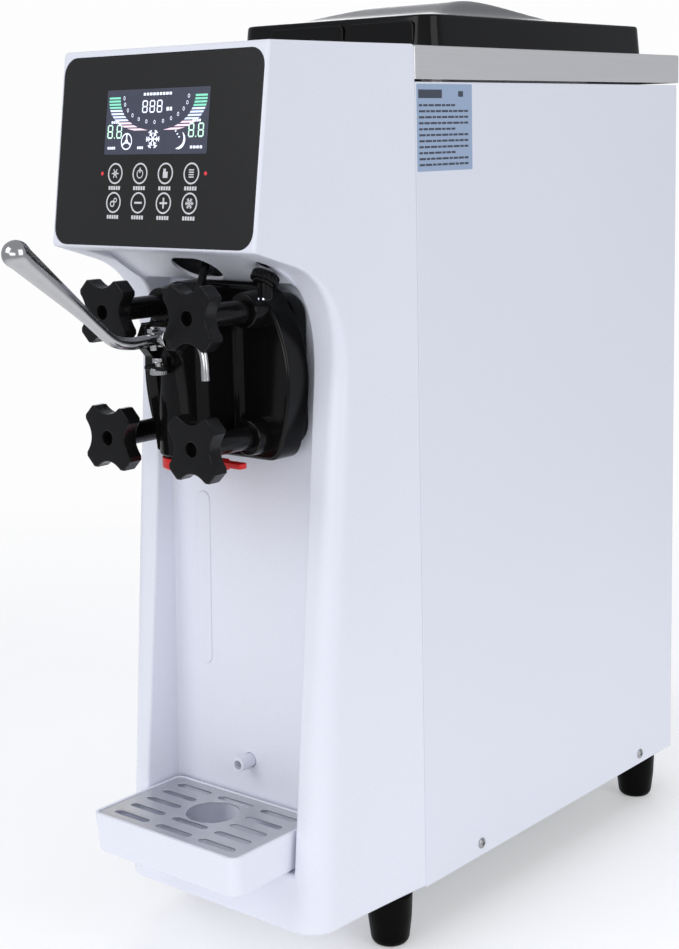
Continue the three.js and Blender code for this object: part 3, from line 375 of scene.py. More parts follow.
def slab(bm, outline, low, high, edge=0.0, holes=(), put=upward, steps=3, low_edge=None):
    """A plate with rounded rims: an outline with holes, from depth low to depth high."""
    low_edge = edge if low_edge is None else low_edge
    levels = [(low, 0)]
    if low_edge:
        levels = [(low + low_edge * (1 - c), low_edge * (1 - s)) for s, c in quarter(steps)]
    if edge:
        levels += [(high - edge * (1 - s), edge * (1 - c)) for s, c in quarter(steps)]
    else:
        levels.append((high, 0))
    stacks = []
    for index, loop in enumerate([outline, *holes]):
        sign = 1 if index == 0 else -1
        rings = [ring(bm, offset_loop(loop, sign * inset), put, w) for w, inset in levels]
        for lower, upper in zip(rings, rings[1:]):
            band(bm, lower, upper)
        stacks.append(rings)
    cap(bm, [rings[0] for rings in stacks])
    cap(bm, [rings[-1] for rings in stacks])
    return bm


def stack(bm, loops, closed_ends=True):
    """Joins loops of 3-D points, one after the other, into one skin."""
    rings = [[bm.verts.new(point) for point in loop] for loop in loops]
    for lower, upper in zip(rings, rings[1:]):
        band(bm, lower, upper)
    if closed_ends:
        cap(bm, [rings[0]])
        cap(bm, [rings[-1]])
    return rings


def turned(bm, profile, centre=(0, 0), put=upward, sides=32):
    """A profile of (radius, depth) pairs turned about an axis through centre."""
    rows = []
    for radius, w in profile:
        if radius < 1e-6:
            rows.append([bm.verts.new(put(*centre, w))])
        else:
            rows.append(ring(bm, circle(*centre, radius, sides), put, w))
    for first, second in zip(rows, rows[1:]):
        if len(first) == len(second):
            band(bm, first, second)
            continue
        tip, loop = (first[0], second) if len(first) == 1 else (second[0], first)
        for i in range(sides):
            bm.faces.new((tip, loop[i], loop[(i + 1) % sides]))
    return bm


def soft_profile(points, radius, steps=4):
    """A turned profile with its inner corners rounded; it starts and ends on the axis."""
    loop = [points[0]]
    for before, here, after in zip(points, points[1:], points[2:]):
        spot = Vector(here)
        back = Vector(before) - spot
        ahead = Vector(after) - spot
        reach = min(radius, back.length * 0.45, ahead.length * 0.45)
        start = spot + back.normalized() * reach
        end = spot + ahead.normalized() * reach
        loop.append(tuple(start))
        loop += curve(tuple(start), here, tuple(end), steps)
    loop.append(points[-1])
    return loop


def rod(bm, radius, low, high, edge, centre, put=upward, sides=32):
    """A straight round rod with softened ends."""
    profile = [(0, low), (radius, low), (radius, high), (0, high)]
    return turned(bm, soft_profile(profile, edge), centre, put, sides)


def smooth_path(points, steps=8):
    """A smooth line through the points."""
    found = [Vector(point) for point in points]
    ends = [2 * found[0] - found[1], *found, 2 * found[-1] - found[-2]]
    path = [found[0]]
    for a, b, c, d in zip(ends, ends[1:], ends[2:], ends[3:]):
        for step in range(1, steps + 1):
            t = step / steps
            pull = (c - a) * t + (2 * a - 5 * b + 4 * c - d) * t * t
            pull += (3 * b - a - 3 * c + d) * t ** 3
            path.append(b + pull / 2)
    return path


def path_lengths(path):
    """How far along the path each of its points is."""
    lengths = [0.0]
    for before, after in zip(path, path[1:]):
        lengths.append(lengths[-1] + (after - before).length)
    return lengths


def swept(bm, path, radius, sides=20):
    """A round rod along a path; radius is one number or a function of the length travelled."""
    lengths = path_lengths(path)
    normal = None
    loops = []
    for i, point in enumerate(path):
        ahead = path[min(i + 1, len(path) - 1)] - path[max(i - 1, 0)]
        ahead.normalize()
        if normal is None:
            normal = ahead.orthogonal()
        normal = (normal - ahead * normal.dot(ahead)).normalized()
        across = ahead.cross(normal)
        size = radius(lengths[i]) if callable(radius) else radius
        loop = []
        for side in range(sides):
            angle = side / sides * 2 * pi
            loop.append(point + (normal * cos(angle) + across * sin(angle)) * size)
        loops.append(loop)
    stack(bm, loops)


def mesh_from(bm, name):
    mesh = bpy.data.meshes.new(name)
    bm.to_mesh(mesh)
    bm.free()
    return mesh


def face_outward(bm):
    bmesh.ops.recalc_face_normals(bm, faces=bm.faces)


def carve(bm, cutters, wall=None):
    """A body, made hollow first if a wall is given, minus each of the cutters."""
    target = new_object("target", mesh_from(bm, "target"))
    if wall:
        shell = target.modifiers.new("wall", "SOLIDIFY")
        shell.thickness = wall
        shell.offset = -1
    tools = []
    for cutter in cutters:
        face_outward(cutter)
        tools.append(new_object("cutter", mesh_from(cutter, "cutter")))
        cut = target.modifiers.new("cut", "BOOLEAN")
        cut.operation = "DIFFERENCE"
        cut.solver = "EXACT"
        cut.object = tools[-1]
    bpy.context.view_layer.update()
    evaluated = target.evaluated_get(bpy.context.evaluated_depsgraph_get())
    result = bmesh.new()
    result.from_mesh(evaluated.data)
    for thing in [target, *tools]:
        bpy.data.objects.remove(thing)
    return result


def add_mesh(bm, other):
    """Moves another mesh's faces into bm."""
    mesh = mesh_from(other, "part")
    bm.from_mesh(mesh)
    bpy.data.meshes.remove(mesh)


def make_piece(name, bm, slot, *replaces, sharp=32, paint=None, outward=True):
    """Turns a mesh drawn in millimetres into a finished piece, on the body of what it replaces."""
    body = frame["nodes"][replaces[0]]["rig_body"] if replaces else "machine"
    bmesh.ops.remove_doubles(bm, verts=bm.verts, dist=0.002)
    if outward:
        face_outward(bm)
    bm.transform(Matrix.Translation((0, SEAM_Y, 0)) @ Matrix.Scale(MM, 4))
    mesh = mesh_from(bm, name)
    mesh.polygons.foreach_set("use_smooth", [True] * len(mesh.polygons))
    mesh.set_sharp_from_angle(angle=radians(sharp))
    mesh.materials.append(FINISHES[paint or slot])
    piece = new_object(name, mesh)
    smoothing = piece.modifiers.new("even normals", "WEIGHTED_NORMAL")
    smoothing.keep_sharp = True
    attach(piece, body)
    if replaces:
        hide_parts(*replaces)


# ---- front fascia

BODY_HALF_WIDTH = 107.2
FOOT_HEIGHT = 40
FASCIA_TOP = 666.2
BASE_FRONT = -117.8
LEAN = 0.0957
COLUMN_TOP = 430
CHIN_START = (-121, 518)
CHIN_CORNER = (-161.2, 530.2)
CHIN_CURVE = (-72.4, 502)  # the control point of the curve from the columns to the chin
GLASS_BOTTOM = (-161, 531.9)
GLASS_TILT = radians(8.3)
GLASS_HALF_WIDTH = 95.9
GLASS_HEIGHT = 130.9
BAY_HALF_WIDTH = 75
BAY_FLOOR = 82
BAY_BACK = -76.5  # at the floor
BAY_BACK_LEAN = 0.02494
BAY_BACK_TOP = 501.3
MOUTH_TOP = 527.2  # where the bay's roof meets the chin, just behind the nose
HEAD_Z = 441
KNOB_X = 41.3
KNOB_Z = 44.5


def lerp(a, b, t):
    return a + (b - a) * t


def clamp(value, low=0.0, high=1.0):
    return max(low, min(high, value))


def fascia_half_width(y):
    share = clamp(-y / 150)
    return BODY_HALF_WIDTH - 8.7 * (1 - (1 - share) ** 2)


def fascia_corner(z):
    """The radius of the fascia's upright corners, tighter toward the head."""
    if z < COLUMN_TOP:
        return lerp(21.5, 12, (z - FOOT_HEIGHT) / (COLUMN_TOP - FOOT_HEIGHT))
    return lerp(12, 2.4, clamp((z - COLUMN_TOP) / (CHIN_CORNER[1] - COLUMN_TOP)))


def lean_at(z):
    return BASE_FRONT + LEAN * (z - FOOT_HEIGHT)


def on_glass(u, v, w):
    """Across the glass, up the glass, and inward from its face."""
    y = GLASS_BOTTOM[0] + v * sin(GLASS_TILT) + w * cos(GLASS_TILT)
    z = GLASS_BOTTOM[1] + v * cos(GLASS_TILT) - w * sin(GLASS_TILT)
    return (u, y, z)


def bay_back(z):
    return BAY_BACK + BAY_BACK_LEAN * (z - BAY_FLOOR)


def fascia_rows():
    """The fascia's levels from bottom to top, as (front y, height, inset)."""
    edge = 3
    rows = []
    for s, c in quarter(4):
        z = FOOT_HEIGHT + edge * (1 - c)
        rows.append((lean_at(z), z, edge * (1 - s)))
    for step in range(13):
        z = lerp(BAY_FLOOR, COLUMN_TOP, step / 12)
        rows.append((lean_at(z), z, 0))
    start = (lean_at(COLUMN_TOP), COLUMN_TOP)
    rows += [(y, z, 0) for y, z in curve(start, CHIN_CURVE, CHIN_START, 14)]
    plane_top = on_glass(0, GLASS_HEIGHT - 1, 0)
    share = (MOUTH_TOP - CHIN_START[1]) / (CHIN_CORNER[1] - CHIN_START[1])
    rows.append((lerp(CHIN_START[0], CHIN_CORNER[0], share), MOUTH_TOP, 0))
    nose = rounded([CHIN_CORNER, plane_top[1:], CHIN_START], [2.5, 0, 0])
    for y, z in sorted(nose[:-2], key=lambda point: point[1]):
        rows.append((y, z, 0))
    for share in (0.3, 0.65, 1.0):
        spot = on_glass(0, lerp(8, GLASS_HEIGHT, share), 0)
        rows.append((spot[1], spot[2], 0))
    for s, c in quarter(4):
        z = FASCIA_TOP - edge * (1 - s)
        front = GLASS_BOTTOM[0] + (z - GLASS_BOTTOM[1]) * tan(GLASS_TILT)
        rows.append((front, z, edge * (1 - c)))
    return rows


def fascia_section(front, z, inset):
    """One level seen from above, from the seam around the front to the other seam."""
    radius = max(0.6, fascia_corner(z) - inset)
    corner_y = front + inset + radius
    side = fascia_half_width(corner_y) - inset
    side_ys = [corner_y * step / 8 for step in range(9)]
    half = [(fascia_half_width(y) - inset, y) for y in side_ys]
    half += [(side - radius + radius * c, corner_y - radius * s) for s, c in quarter(8)[1:]]
    half += [(BAY_HALF_WIDTH, front + inset), (BAY_HALF_WIDTH / 2, front + inset)]
    middle = [(0, front + inset)]
    mirrored = [(-x, y) for x, y in reversed(half)]
    return [(x, y, z) for x, y in half + middle + mirrored]


def roof_line(front):
    """The bay's roof from behind the nose: level, then down a slope, then level again."""
    bends = [(-126, 525.6), (-93, 503.8)]
    back = (bay_back(BAY_BACK_TOP), BAY_BACK_TOP)
    line = rounded([front, *bends, back], [0, 10, 5, 0], 5)
    return line[1:-1]


OUTER, LEFT_WALL, RIGHT_WALL, BACK_WALL, FLOOR, CEILING = range(6)


def row_at(rows, height):
    return next(i for i, row in enumerate(rows) if abs(row[1] - height) < 1e-6)


def fascia_skin():
    """The fascia's outer skin with the cup bay let into it, and all its edges rounded."""
    bm = bmesh.new()
    region = bm.faces.layers.int.new("region")
    rows = fascia_rows()
    grid = [[bm.verts.new(point) for point in fascia_section(*row)] for row in rows]
    first, last = row_at(rows, BAY_FLOOR), row_at(rows, MOUTH_TOP)
    count = len(grid[0])
    right_side, left_side = count // 2 - 2, count // 2 + 2

    def face(verts, kind):
        bm.faces.new(verts)[region] = kind

    for r in range(len(rows) - 1):
        for c in range(count - 1):
            in_bay = first <= r < last and right_side <= c < left_side
            if not in_bay:
                face((grid[r][c], grid[r][c + 1], grid[r + 1][c + 1], grid[r + 1][c]), OUTER)
    face(list(reversed(grid[0])), OUTER)
    face(grid[-1], OUTER)

    roof = roof_line(rows[last][:2])
    corners = [*roof, (bay_back(BAY_BACK_TOP), BAY_BACK_TOP), (BAY_BACK, BAY_FLOOR)]
    walls = []
    for side, kind in ((right_side, RIGHT_WALL), (left_side, LEFT_WALL)):
        inner = [bm.verts.new((grid[0][side].co.x, y, z)) for y, z in corners]
        face([*(row[side] for row in grid[first:last + 1]), *inner], kind)
        walls.append(inner)
    right, left = walls
    for k in range(len(corners) - 1):
        kind = BACK_WALL if k == len(corners) - 2 else CEILING
        face((right[k], left[k], left[k + 1], right[k + 1]), kind)
    face([*grid[last][right_side:left_side + 1], left[0], right[0]], CEILING)
    face([*grid[first][right_side:left_side + 1], left[-1], right[-1]], FLOOR)
    bmesh.ops.remove_doubles(bm, verts=bm.verts, dist=0.01)
    face_outward(bm)
    if sum(f.normal.z for f in bm.faces if f.calc_center_median().z > FASCIA_TOP - 0.1) < 0:
        bmesh.ops.reverse_faces(bm, faces=bm.faces)
    edges = []
    for edge in bm.edges:
        kinds = {f[region] for f in edge.link_faces}
        if len(kinds) == 2 and kinds != {OUTER, CEILING}:
            edges.append(edge)
    bmesh.ops.bevel(bm, geom=edges, offset=4, offset_type="OFFSET", segments=5, profile=0.5,
                    affect="EDGES", clamp_overlap=True, loop_slide=True)
    return bm


KNOBS = {
    f"{row}_{side}": (right * KNOB_X, HEAD_Z + up * KNOB_Z)
    for row, up in (("upper", 1), ("lower", -1))
    for side, right in (("left", -1), ("right", 1))
}
LAMP = (62, -112)
DRAIN_Z = 140


def fascia_openings():
    """What is cut through the fascia, for the glass, head, studs, drain, switch lever and lamp."""
    room = 0.4
    through_wall = (-90, -50)
    through_roof = (490, 540)
    half = GLASS_HALF_WIDTH + room
    behind_glass = rounded_rect(-half, half, -room, GLASS_HEIGHT + room, 12 + room)
    cutters = [slab(bmesh.new(), behind_glass, -10, 20, put=on_glass)]
    studs = [circle(x, z, 5.2, 16) for x, z in KNOBS.values()]
    for hole in (circle(0, HEAD_Z, 49, 48), *studs, circle(0, DRAIN_Z, 5.8)):
        cutters.append(slab(bmesh.new(), hole, *through_wall, put=facing))
    for hole in (stadium(-28, 13, -119, -93, 12), circle(*LAMP, 6)):
        cutters.append(slab(bmesh.new(), hole, *through_roof))
    return cutters


def make_fascia():
    body = carve(fascia_skin(), fascia_openings(), wall=2.2)
    slab(body, stadium(-51, -38, 207, 341), -1.1, 0.8, 0.9, low_edge=0,
         put=lambda u, v, w: (u, bay_back(v) - w - 0.3, v))
    make_piece("fascia", body, "white_plastic", "front_fascia", sharp=30, outward=False)


# ---- control panel

SCREEN_HALF = 49.5
SCREEN_LOW = 62.8
SCREEN_HIGH = 107.2
MARK_PROUD = 0.07


def mark(bm, outline, level=1.0, holes=()):
    """A flat mark on the glass, standing proud of it by a hair."""
    slab(bm, outline, -MARK_PROUD * level, 0.05, holes=holes, put=on_glass)


def bar(bm, u, v, width, height, angle=0.0, level=1.0):
    turn = Matrix.Rotation(angle, 2)
    corners = rect(-width / 2, width / 2, -height / 2, height / 2)
    spots = [turn @ Vector(corner) for corner in corners]
    mark(bm, [(u + spot.x, v + spot.y) for spot in spots], level)


def hoop(bm, u, v, radius, thick, level=1.0, sides=28, flatten=1.0):
    outer = [(u + (x - u) * flatten, y) for x, y in circle(u, v, radius, sides)]
    inner = [(u + (x - u) * flatten, y) for x, y in circle(u, v, radius - thick, sides)]
    mark(bm, outer, level, holes=[inner])


def digit(bm, u, v, width, height, stroke):
    """An eight in seven segments: three level bars, then four upright ones."""
    for up in (0.5, 0, -0.5):
        bar(bm, u, v + up * (height - stroke), width - stroke * 1.7, stroke, level=2)
    for up in (0.25, -0.25):
        for across in (-0.5, 0.5):
            bar(bm, u + across * (width - stroke), v + up * (height - stroke), stroke,
                height / 2 - stroke * 1.2, level=2)


def screen_point(across, down):
    """A place on the screen, by its share of the width and the share down from its top."""
    u = lerp(-SCREEN_HALF, SCREEN_HALF, across)
    v = lerp(SCREEN_HIGH, SCREEN_LOW, down)
    return u, v


def star_rays(bm, u, v, radius, rays, thick, level=2.0):
    for ray in range(rays):
        angle = pi * ray / rays
        bar(bm, u, v, 2 * radius, thick, angle, level)


def snowflake(bm, u, v, radius, thick):
    star_rays(bm, u, v, radius, 3, thick)
    for ray in range(6):
        angle = pi * ray / 3
        for share in (0.45, 0.75):
            x = u + radius * share * cos(angle)
            y = v + radius * share * sin(angle)
            for side in (-1, 1):
                turn = angle + side * pi / 3.4
                reach = radius * 0.3
                bar(bm, x + cos(turn) * reach / 2, y + sin(turn) * reach / 2, reach,
                    thick, turn, 2)


def wheel(bm, u, v):
    """A rim with three spokes and a hub."""
    hoop(bm, u, v, 5.8, 0.8, 2, flatten=0.94)
    for turn in (90, 210, 330):
        angle = radians(turn)
        bar(bm, u + 2.7 * cos(angle), v + 2.7 * sin(angle), 5, 1.1, angle, 2)
    mark(bm, circle(u, v, 1.5, 16), 3)


def crescent(bm, u, v, height):
    """A thin moon: an outer arc, and a shallower inner arc back to the start."""
    radius = height / 2
    outer = []
    for step in range(13):
        angle = radians(-115 + 175 * step / 12)
        outer.append((u - radius * 0.3 + radius * cos(angle), v + radius * sin(angle)))
    start, end = outer[-1], outer[0]
    inner = curve(start, (u + radius * 0.95, v - radius * 0.5), end, 10)[:-1]
    mark(bm, outer + inner, 2)
    for share in (0, 0.5, 1):
        bar(bm, u - 5.2 + 3.6 * share, v + 6 - 4 * share, 1.3, 0.9, 0.4, 2)


def arc_reach(down):
    """How far out the fans start, as a share of the screen's width, at a share down from its top."""
    return 0.352 * sqrt(max(0, 1 - (max(0, down - 0.1) / 0.54) ** 2.2))


def level_arcs(green, blue, pink):
    """Two fans of slanted bars, by colour from the top down."""
    pitch = 0.0492
    for index, bm in enumerate([green] * 4 + [blue] * 4 + [pink] * 3):
        top = 0.11 + pitch * index
        bottom = top + pitch * 0.62
        width = lerp(0.112, 0.135, index / 10)
        for side in (-1, 1):
            corners = []
            for share, down in ((0, top), (1, top), (1, bottom), (0, bottom)):
                reach = arc_reach(down) + 0.014 + width * share
                corners.append(screen_point(0.5 + side * reach, down))
            mark(bm, corners[::-side], 2)


def small_zeros(bm):
    """The small round marks along the inside of the fans."""
    for index in range(13):
        angle = pi * index / 12
        u, v = screen_point(0.487 - 0.315 * cos(angle), 0.13 + 0.38 * sin(angle))
        hoop(bm, u, v, 1.35, 0.42, 2, 12, 0.7)


def words(bm, u, v, width, height, parts):
    """A caption shown as short plain bars instead of letters."""
    pitch = width / parts
    for index in range(parts):
        bar(bm, u - width / 2 + pitch * (index + 0.5), v, pitch * 0.72, height, level=2)


def key_icon(bm, kind, u, v):
    if kind == "fan":
        star_rays(bm, u, v, 3.4, 3, 0.8)
        hoop(bm, u, v, 1.7, 0.5, 2)
    elif kind == "power":
        hoop(bm, u, v - 0.3, 3.1, 0.7, 2)
        bar(bm, u, v + 2.2, 0.9, 3.6, level=3)
    elif kind == "tap":
        bar(bm, u, v - 0.9, 4.4, 4.2, level=2)
        bar(bm, u - 0.8, v + 2.2, 2.2, 2.0, level=2)
    elif kind == "list":
        for row in (-2.4, -0.8, 0.8, 2.4):
            bar(bm, u, v + row, 4.6, 0.8, level=2)
    elif kind == "gears":
        hoop(bm, u - 1.1, v - 1, 2.2, 0.9, 2)
        hoop(bm, u + 1.7, v + 1.6, 1.7, 0.7, 2)
    elif kind == "minus":
        bar(bm, u, v, 7.2, 1.3, level=2)
    elif kind == "plus":
        bar(bm, u, v, 7.2, 1.3, level=2)
        bar(bm, u, v, 1.3, 7.2, level=3)
    else:
        snowflake(bm, u, v, 3.6, 0.7)


def make_keys():
    prints = bmesh.new()
    top_row, row_pitch, column_pitch = 49.7, 20, 24.6
    rows = (("fan", "power", "tap", "list"), ("gears", "minus", "plus", "flake"))
    for row, kinds in enumerate(rows):
        v = top_row - row_pitch * row
        for column, kind in enumerate(kinds):
            u = (column - 1.5) * column_pitch
            hoop(prints, u, v, 7.3, 1.1)
            key_icon(prints, kind, u, v)
            words(prints, u, v - 10, 12, 2.6, 5)
    make_piece("key_prints", prints, "panel_glass", paint="print_white")
    lights = bmesh.new()
    for side in (-1, 1):
        mark(lights, circle(side * 50, top_row, 1.3, 16))
    make_piece("key_lights", lights, "panel_glass", paint="lit_red")


def make_screen():
    backlight = bmesh.new()
    mark(backlight, rounded_rect(-SCREEN_HALF, SCREEN_HALF, SCREEN_LOW, SCREEN_HIGH, 1.2))
    make_piece("screen_backlight", backlight, "display", paint="lcd_backlight")
    white, green, blue, pink, mint = (bmesh.new() for _ in range(5))
    level_arcs(green, blue, pink)
    small_zeros(white)
    u, v = screen_point(0.455, 0.27)
    for step in (-1, 0, 1):
        digit(white, u + 7.1 * step, v, 5.2, 8.6, 0.9)
    words(white, u + 16.5, v - 2, 6, 2.4, 2)
    words(white, *screen_point(0.5, 0.08), 28, 1.8, 9)
    for across in (0.095, 0.89):
        u, v = screen_point(across, 0.645)
        for step in (-0.5, 0.5):
            digit(mint, u + 9 * step, v, 5.4, 9.6, 1.0)
        bar(mint, u, v - 4.3, 0.9, 0.9, level=2)
        words(white, *screen_point(across, 0.50), 8, 1.7, 4)
    for across, width in ((0.07, 8), (0.36, 6), (0.9, 12)):
        words(white, *screen_point(across, 0.9), width, 1.8, 4)
    wheel(white, *screen_point(0.22, 0.80))
    snowflake(white, *screen_point(0.48, 0.77), 6.6, 0.75)
    crescent(white, *screen_point(0.75, 0.79), 12.5)
    marks = {"white": white, "green": green, "blue": blue, "pink": pink, "mint": mint}
    for name, bm in marks.items():
        make_piece(f"screen_marks_{name}", bm, "display", paint=f"lit_{name}")


def make_glass():
    bm = bmesh.new()
    outline = rounded_rect(-GLASS_HALF_WIDTH, GLASS_HALF_WIDTH, 0, GLASS_HEIGHT, 12, 12)
    slab(bm, outline, 0, 3, 0.3, put=on_glass, low_edge=0.5)
    make_piece("glass", bm, "panel_glass", "control_glass")


# ---- casing

PANEL_DEPTH = 378
PANEL_TOP = 640
RIM_TOP = 665.5
SHEET = 1.2
PANEL_SCREWS = ((73.5, 50), (320, 49))  # in (y, z)
GLAND = (-78, 330)  # in (x, z)


def make_side_panel(sign):
    """Folded sheet: a flat side with a lip turned in at the front and at the back."""
    lip = 12
    x = BODY_HALF_WIDTH
    front, back = 0.7, PANEL_DEPTH
    corners = [(x - lip, front), (x, front), (x, back), (x - lip, back), (x - lip, back - SHEET),
               (x - SHEET, back - SHEET), (x - SHEET, front + SHEET), (x - lip, front + SHEET)]
    outline = rounded(corners, [0.3, 1.0, 3.0, 0.3, 0.3, 1.8, 0.4, 0.3])
    bm = slab(bmesh.new(), [(u * sign, v) for u, v in outline][::sign], FOOT_HEIGHT, PANEL_TOP, 0.3)
    side = "right" if sign > 0 else "left"
    make_piece(f"side_sheet_{side}", bm, "white_paint", f"{side}_side_panel")


def make_screw(bm, x, y, z, sign):
    """A pan-head screw in the side: a low dome with a crossed slot cut in it."""
    head = bmesh.new()
    radius = 4.3
    dome = [(0, 0), (radius, 0)]
    dome += [(radius * c, 0.5 + 1.7 * s) for s, c in quarter(6)[1:]]
    turned(head, dome, (y, z), lambda u, v, w: (sign * (x + w), u, v), 24)
    face_outward(head)
    slots = []
    for long, short in ((2.6, 0.5), (0.5, 2.6)):
        cutter = bmesh.new()
        slab(cutter, rect(y - long, y + long, z - short, z + short), sign * (x + 1), sign * (x + 4),
             put=sideways)
        slots.append(cutter)
    add_mesh(bm, carve(head, slots))


def make_screws():
    bm = bmesh.new()
    for sign in (-1, 1):
        for y, z in PANEL_SCREWS:
            make_screw(bm, BODY_HALF_WIDTH - 0.2, y, z, sign)
    make_piece("panel_screws", bm, "chrome", paint="screw_zinc")




def make_rim():
    half = BODY_HALF_WIDTH + 0.4
    y0, y1 = 0.3, 380.5
    outline = rounded(rect(-half, half, y0, y1), [0.5, 0.5, 2.5, 2.5])
    outer = slab(bmesh.new(), outline, PANEL_TOP + 1.8, RIM_TOP, 1.6, low_edge=0.3, steps=5)
    inner = half - SHEET
    hollow = slab(bmesh.new(), rounded_rect(-inner, inner, y0 + SHEET, y1 - SHEET, 1.6),
                  PANEL_TOP - 5, RIM_TOP - SHEET)
    mouth = slab(bmesh.new(), rounded_rect(-79, 79, 61, 291, 21), RIM_TOP - 10, RIM_TOP + 10)
    make_piece("rim", carve(outer, [hollow, mouth]), "stainless", "top_rim")


def make_rear_panel():
    y0 = PANEL_DEPTH + GAP
    louvres = [(x, 78 + row * 24) for row in range(9) for x in (-44, 44)]
    holes = [stadium(x - 36, x + 36, z, z + 7, 5) for x, z in louvres]
    holes.append(circle(*GLAND, 8.6, 24))
    bm = bmesh.new()
    slab(bm, rounded_rect(-105.5, 105.5, FOOT_HEIGHT + 1, PANEL_TOP - 1, 2), y0, y0 + SHEET, 0.3,
         holes, facing, 2)
    make_piece("rear_sheet", bm, "white_paint", "rear_panel")


def make_foot(corner):
    low, high = box_mm(f"foot_{corner}")
    centre = ((low.x + high.x) / 2, (low.y + high.y) / 2)
    profile = soft_profile([(0, 0), (12.2, 0), (14.6, 3.4), (16.6, 20), (17.5, high.z), (0, high.z)], 2)
    bm = turned(bmesh.new(), profile, centre, sides=40)
    make_piece(f"leg_{corner}", bm, "rubber", f"foot_{corner}")


def make_gland():
    outside = PANEL_DEPTH + GAP + SHEET + GAP
    end = box_mm("cord_gland")[1].y
    bm = slab(bmesh.new(), circle(*GLAND, 12, 6), outside, outside + 6, 0.8, put=facing)
    profile = [(4.2, outside - 12), (8, outside - 12), (8, outside + 5), (10.2, outside + 6),
               (10.2, outside + 8), (8.6, end - 1.5), (7, end), (4.2, end), (4.2, outside - 12)]
    turned(bm, profile, GLAND, facing, 28)
    make_piece("gland", bm, "black_satin", "cord_gland")


def make_label():
    """The rating plate: a pale blue sticker with rows of plain bars."""
    x = BODY_HALF_WIDTH
    y0, y1, z0, z1 = 2.2, 69.3, 577, 638.6
    sticker = bmesh.new()
    slab(sticker, rounded_rect(y0, y1, z0, z1, 1), x - 0.05, x + 0.12, put=sideways)
    make_piece("rating_plate", sticker, "white_paint", paint="label_blue")
    lines = bmesh.new()
    row = z1 - 4
    slab(lines, rect(y0 + 2, y0 + 30, row - 6, row), x, x + 0.2, put=sideways)
    slab(lines, rect(y0 + 50, y0 + 56, row - 5, row - 1), x, x + 0.2, put=sideways)
    for index in range(11):
        z = row - 11 - index * 4.2
        length = 60 if index % 4 else 44
        start = y0 + 2.5
        piece = 0
        while start < y0 + length:
            step = 4 + 3.5 * ((index * 7 + piece * 5) % 4) / 3
            stop = min(start + step, y0 + length + 2)
            slab(lines, rect(start, stop, z - 0.75, z + 0.75), x, x + 0.2, put=sideways)
            start = stop + 1.1
            piece += 1
    make_piece("rating_lines", lines, "white_paint", paint="label_ink")


# ---- the lid

LID_FRONT = 35.5
LID_BACK = 346
LID_HALF_WIDTH = 95
LID_CORNER = 17
LID_WALL = 23.5
LID_DOME = 18.5


def smooth_min(values, softness):
    total = sum(exp(-value / softness) for value in values)
    return -softness * log(total)


def smoothstep(t):
    t = clamp(t)
    return t * t * (3 - 2 * t)


def lid_height(x, y):
    """How far the lid's top stands above its rim: three slopes that meet at a peak."""
    front = (y - LID_FRONT - 4) / 130
    side = (LID_HALF_WIDTH - 3 - abs(x)) / 60
    back = (LID_BACK - 100 - y) / 90
    return LID_DOME * smoothstep(smooth_min((front, side, back), 0.05))


def lid_loop(inset):
    half = LID_HALF_WIDTH - inset
    corners = rect(-half, half, LID_FRONT + inset, LID_BACK - inset)
    loop = rounded(corners, LID_CORNER - inset, 8)
    dense = []
    for i, here in enumerate(loop):
        after = loop[(i + 1) % len(loop)]
        span = dist(here, after)
        parts = max(1, round(span / 9))
        for k in range(parts):
            dense.append((lerp(here[0], after[0], k / parts), lerp(here[1], after[1], k / parts)))
    return dense


def make_lid():
    base = RIM_TOP + GAP
    shoulder = base + LID_WALL
    draft = 2
    edge = 2.2
    loops = []
    for inset, z in ((0.4, base), (0, base + 0.5), (draft, shoulder - edge)):
        loops.append([(x, y, z) for x, y in lid_loop(inset)])
    middle = Vector((0, (LID_FRONT + LID_BACK) / 2))
    spots = [Vector(spot) for spot in lid_loop(draft)]
    for s, c in quarter(4)[1:]:
        inward = [spot - (spot - middle).normalized() * edge * (1 - c) for spot in spots]
        loops.append([(spot.x, spot.y, shoulder - edge * (1 - s)) for spot in inward])
    outer = [Vector(point[:2]) for point in loops[-1]]
    rings = 30
    for step in range(1, rings):
        share = 1 - step / rings
        loop = []
        for spot in outer:
            place = middle + (spot - middle) * share
            loop.append((place.x, place.y, shoulder + lid_height(*place)))
        loops.append(loop)
    bm = bmesh.new()
    rows = stack(bm, loops, closed_ends=False)
    tip = bm.verts.new((*middle, shoulder + lid_height(*middle)))
    for i in range(len(rows[-1])):
        bm.faces.new((tip, rows[-1][i], rows[-1][(i + 1) % len(rows[-1])]))
    face_outward(bm)
    body = carve(bm, [], wall=2.4)
    for x0, x1 in ((-58, 14), (20, 80)):
        raised = rounded_rect(x0, x1, base + 1.2, shoulder - 4.2, 4)
        slab(body, raised, LID_FRONT - 0.9, LID_FRONT + 1.6, 0.8, put=facing)
    make_piece("lid_shell", body, "black_gloss", "hopper_lid", sharp=40)


# ---- dispensing head

HEAD_FRONT = -101.5
KNOB_SEAT = -113
PLATE_BACK = -79.3
VALVE_Y = -126.3
VALVE_RADIUS = 22
YOKE_INNER = 9.5
YOKE_OUTER = 18.6
PIVOT = (-150, 468.4)


def cover_outline():
    """The cover's barrel-shaped front view, counter-clockwise."""
    z = HEAD_Z
    right = curve((50, z - 62), (61, z - 62), (64, z - 48), 8)
    right += curve((64, z - 48), (79, z - 2), (64, z + 32), 16)
    right += curve((64, z + 32), (54, z + 57), (36, z + 61), 10)
    right = [(50, z - 62), *right]
    return right + [(-x, v) for x, v in reversed(right)]


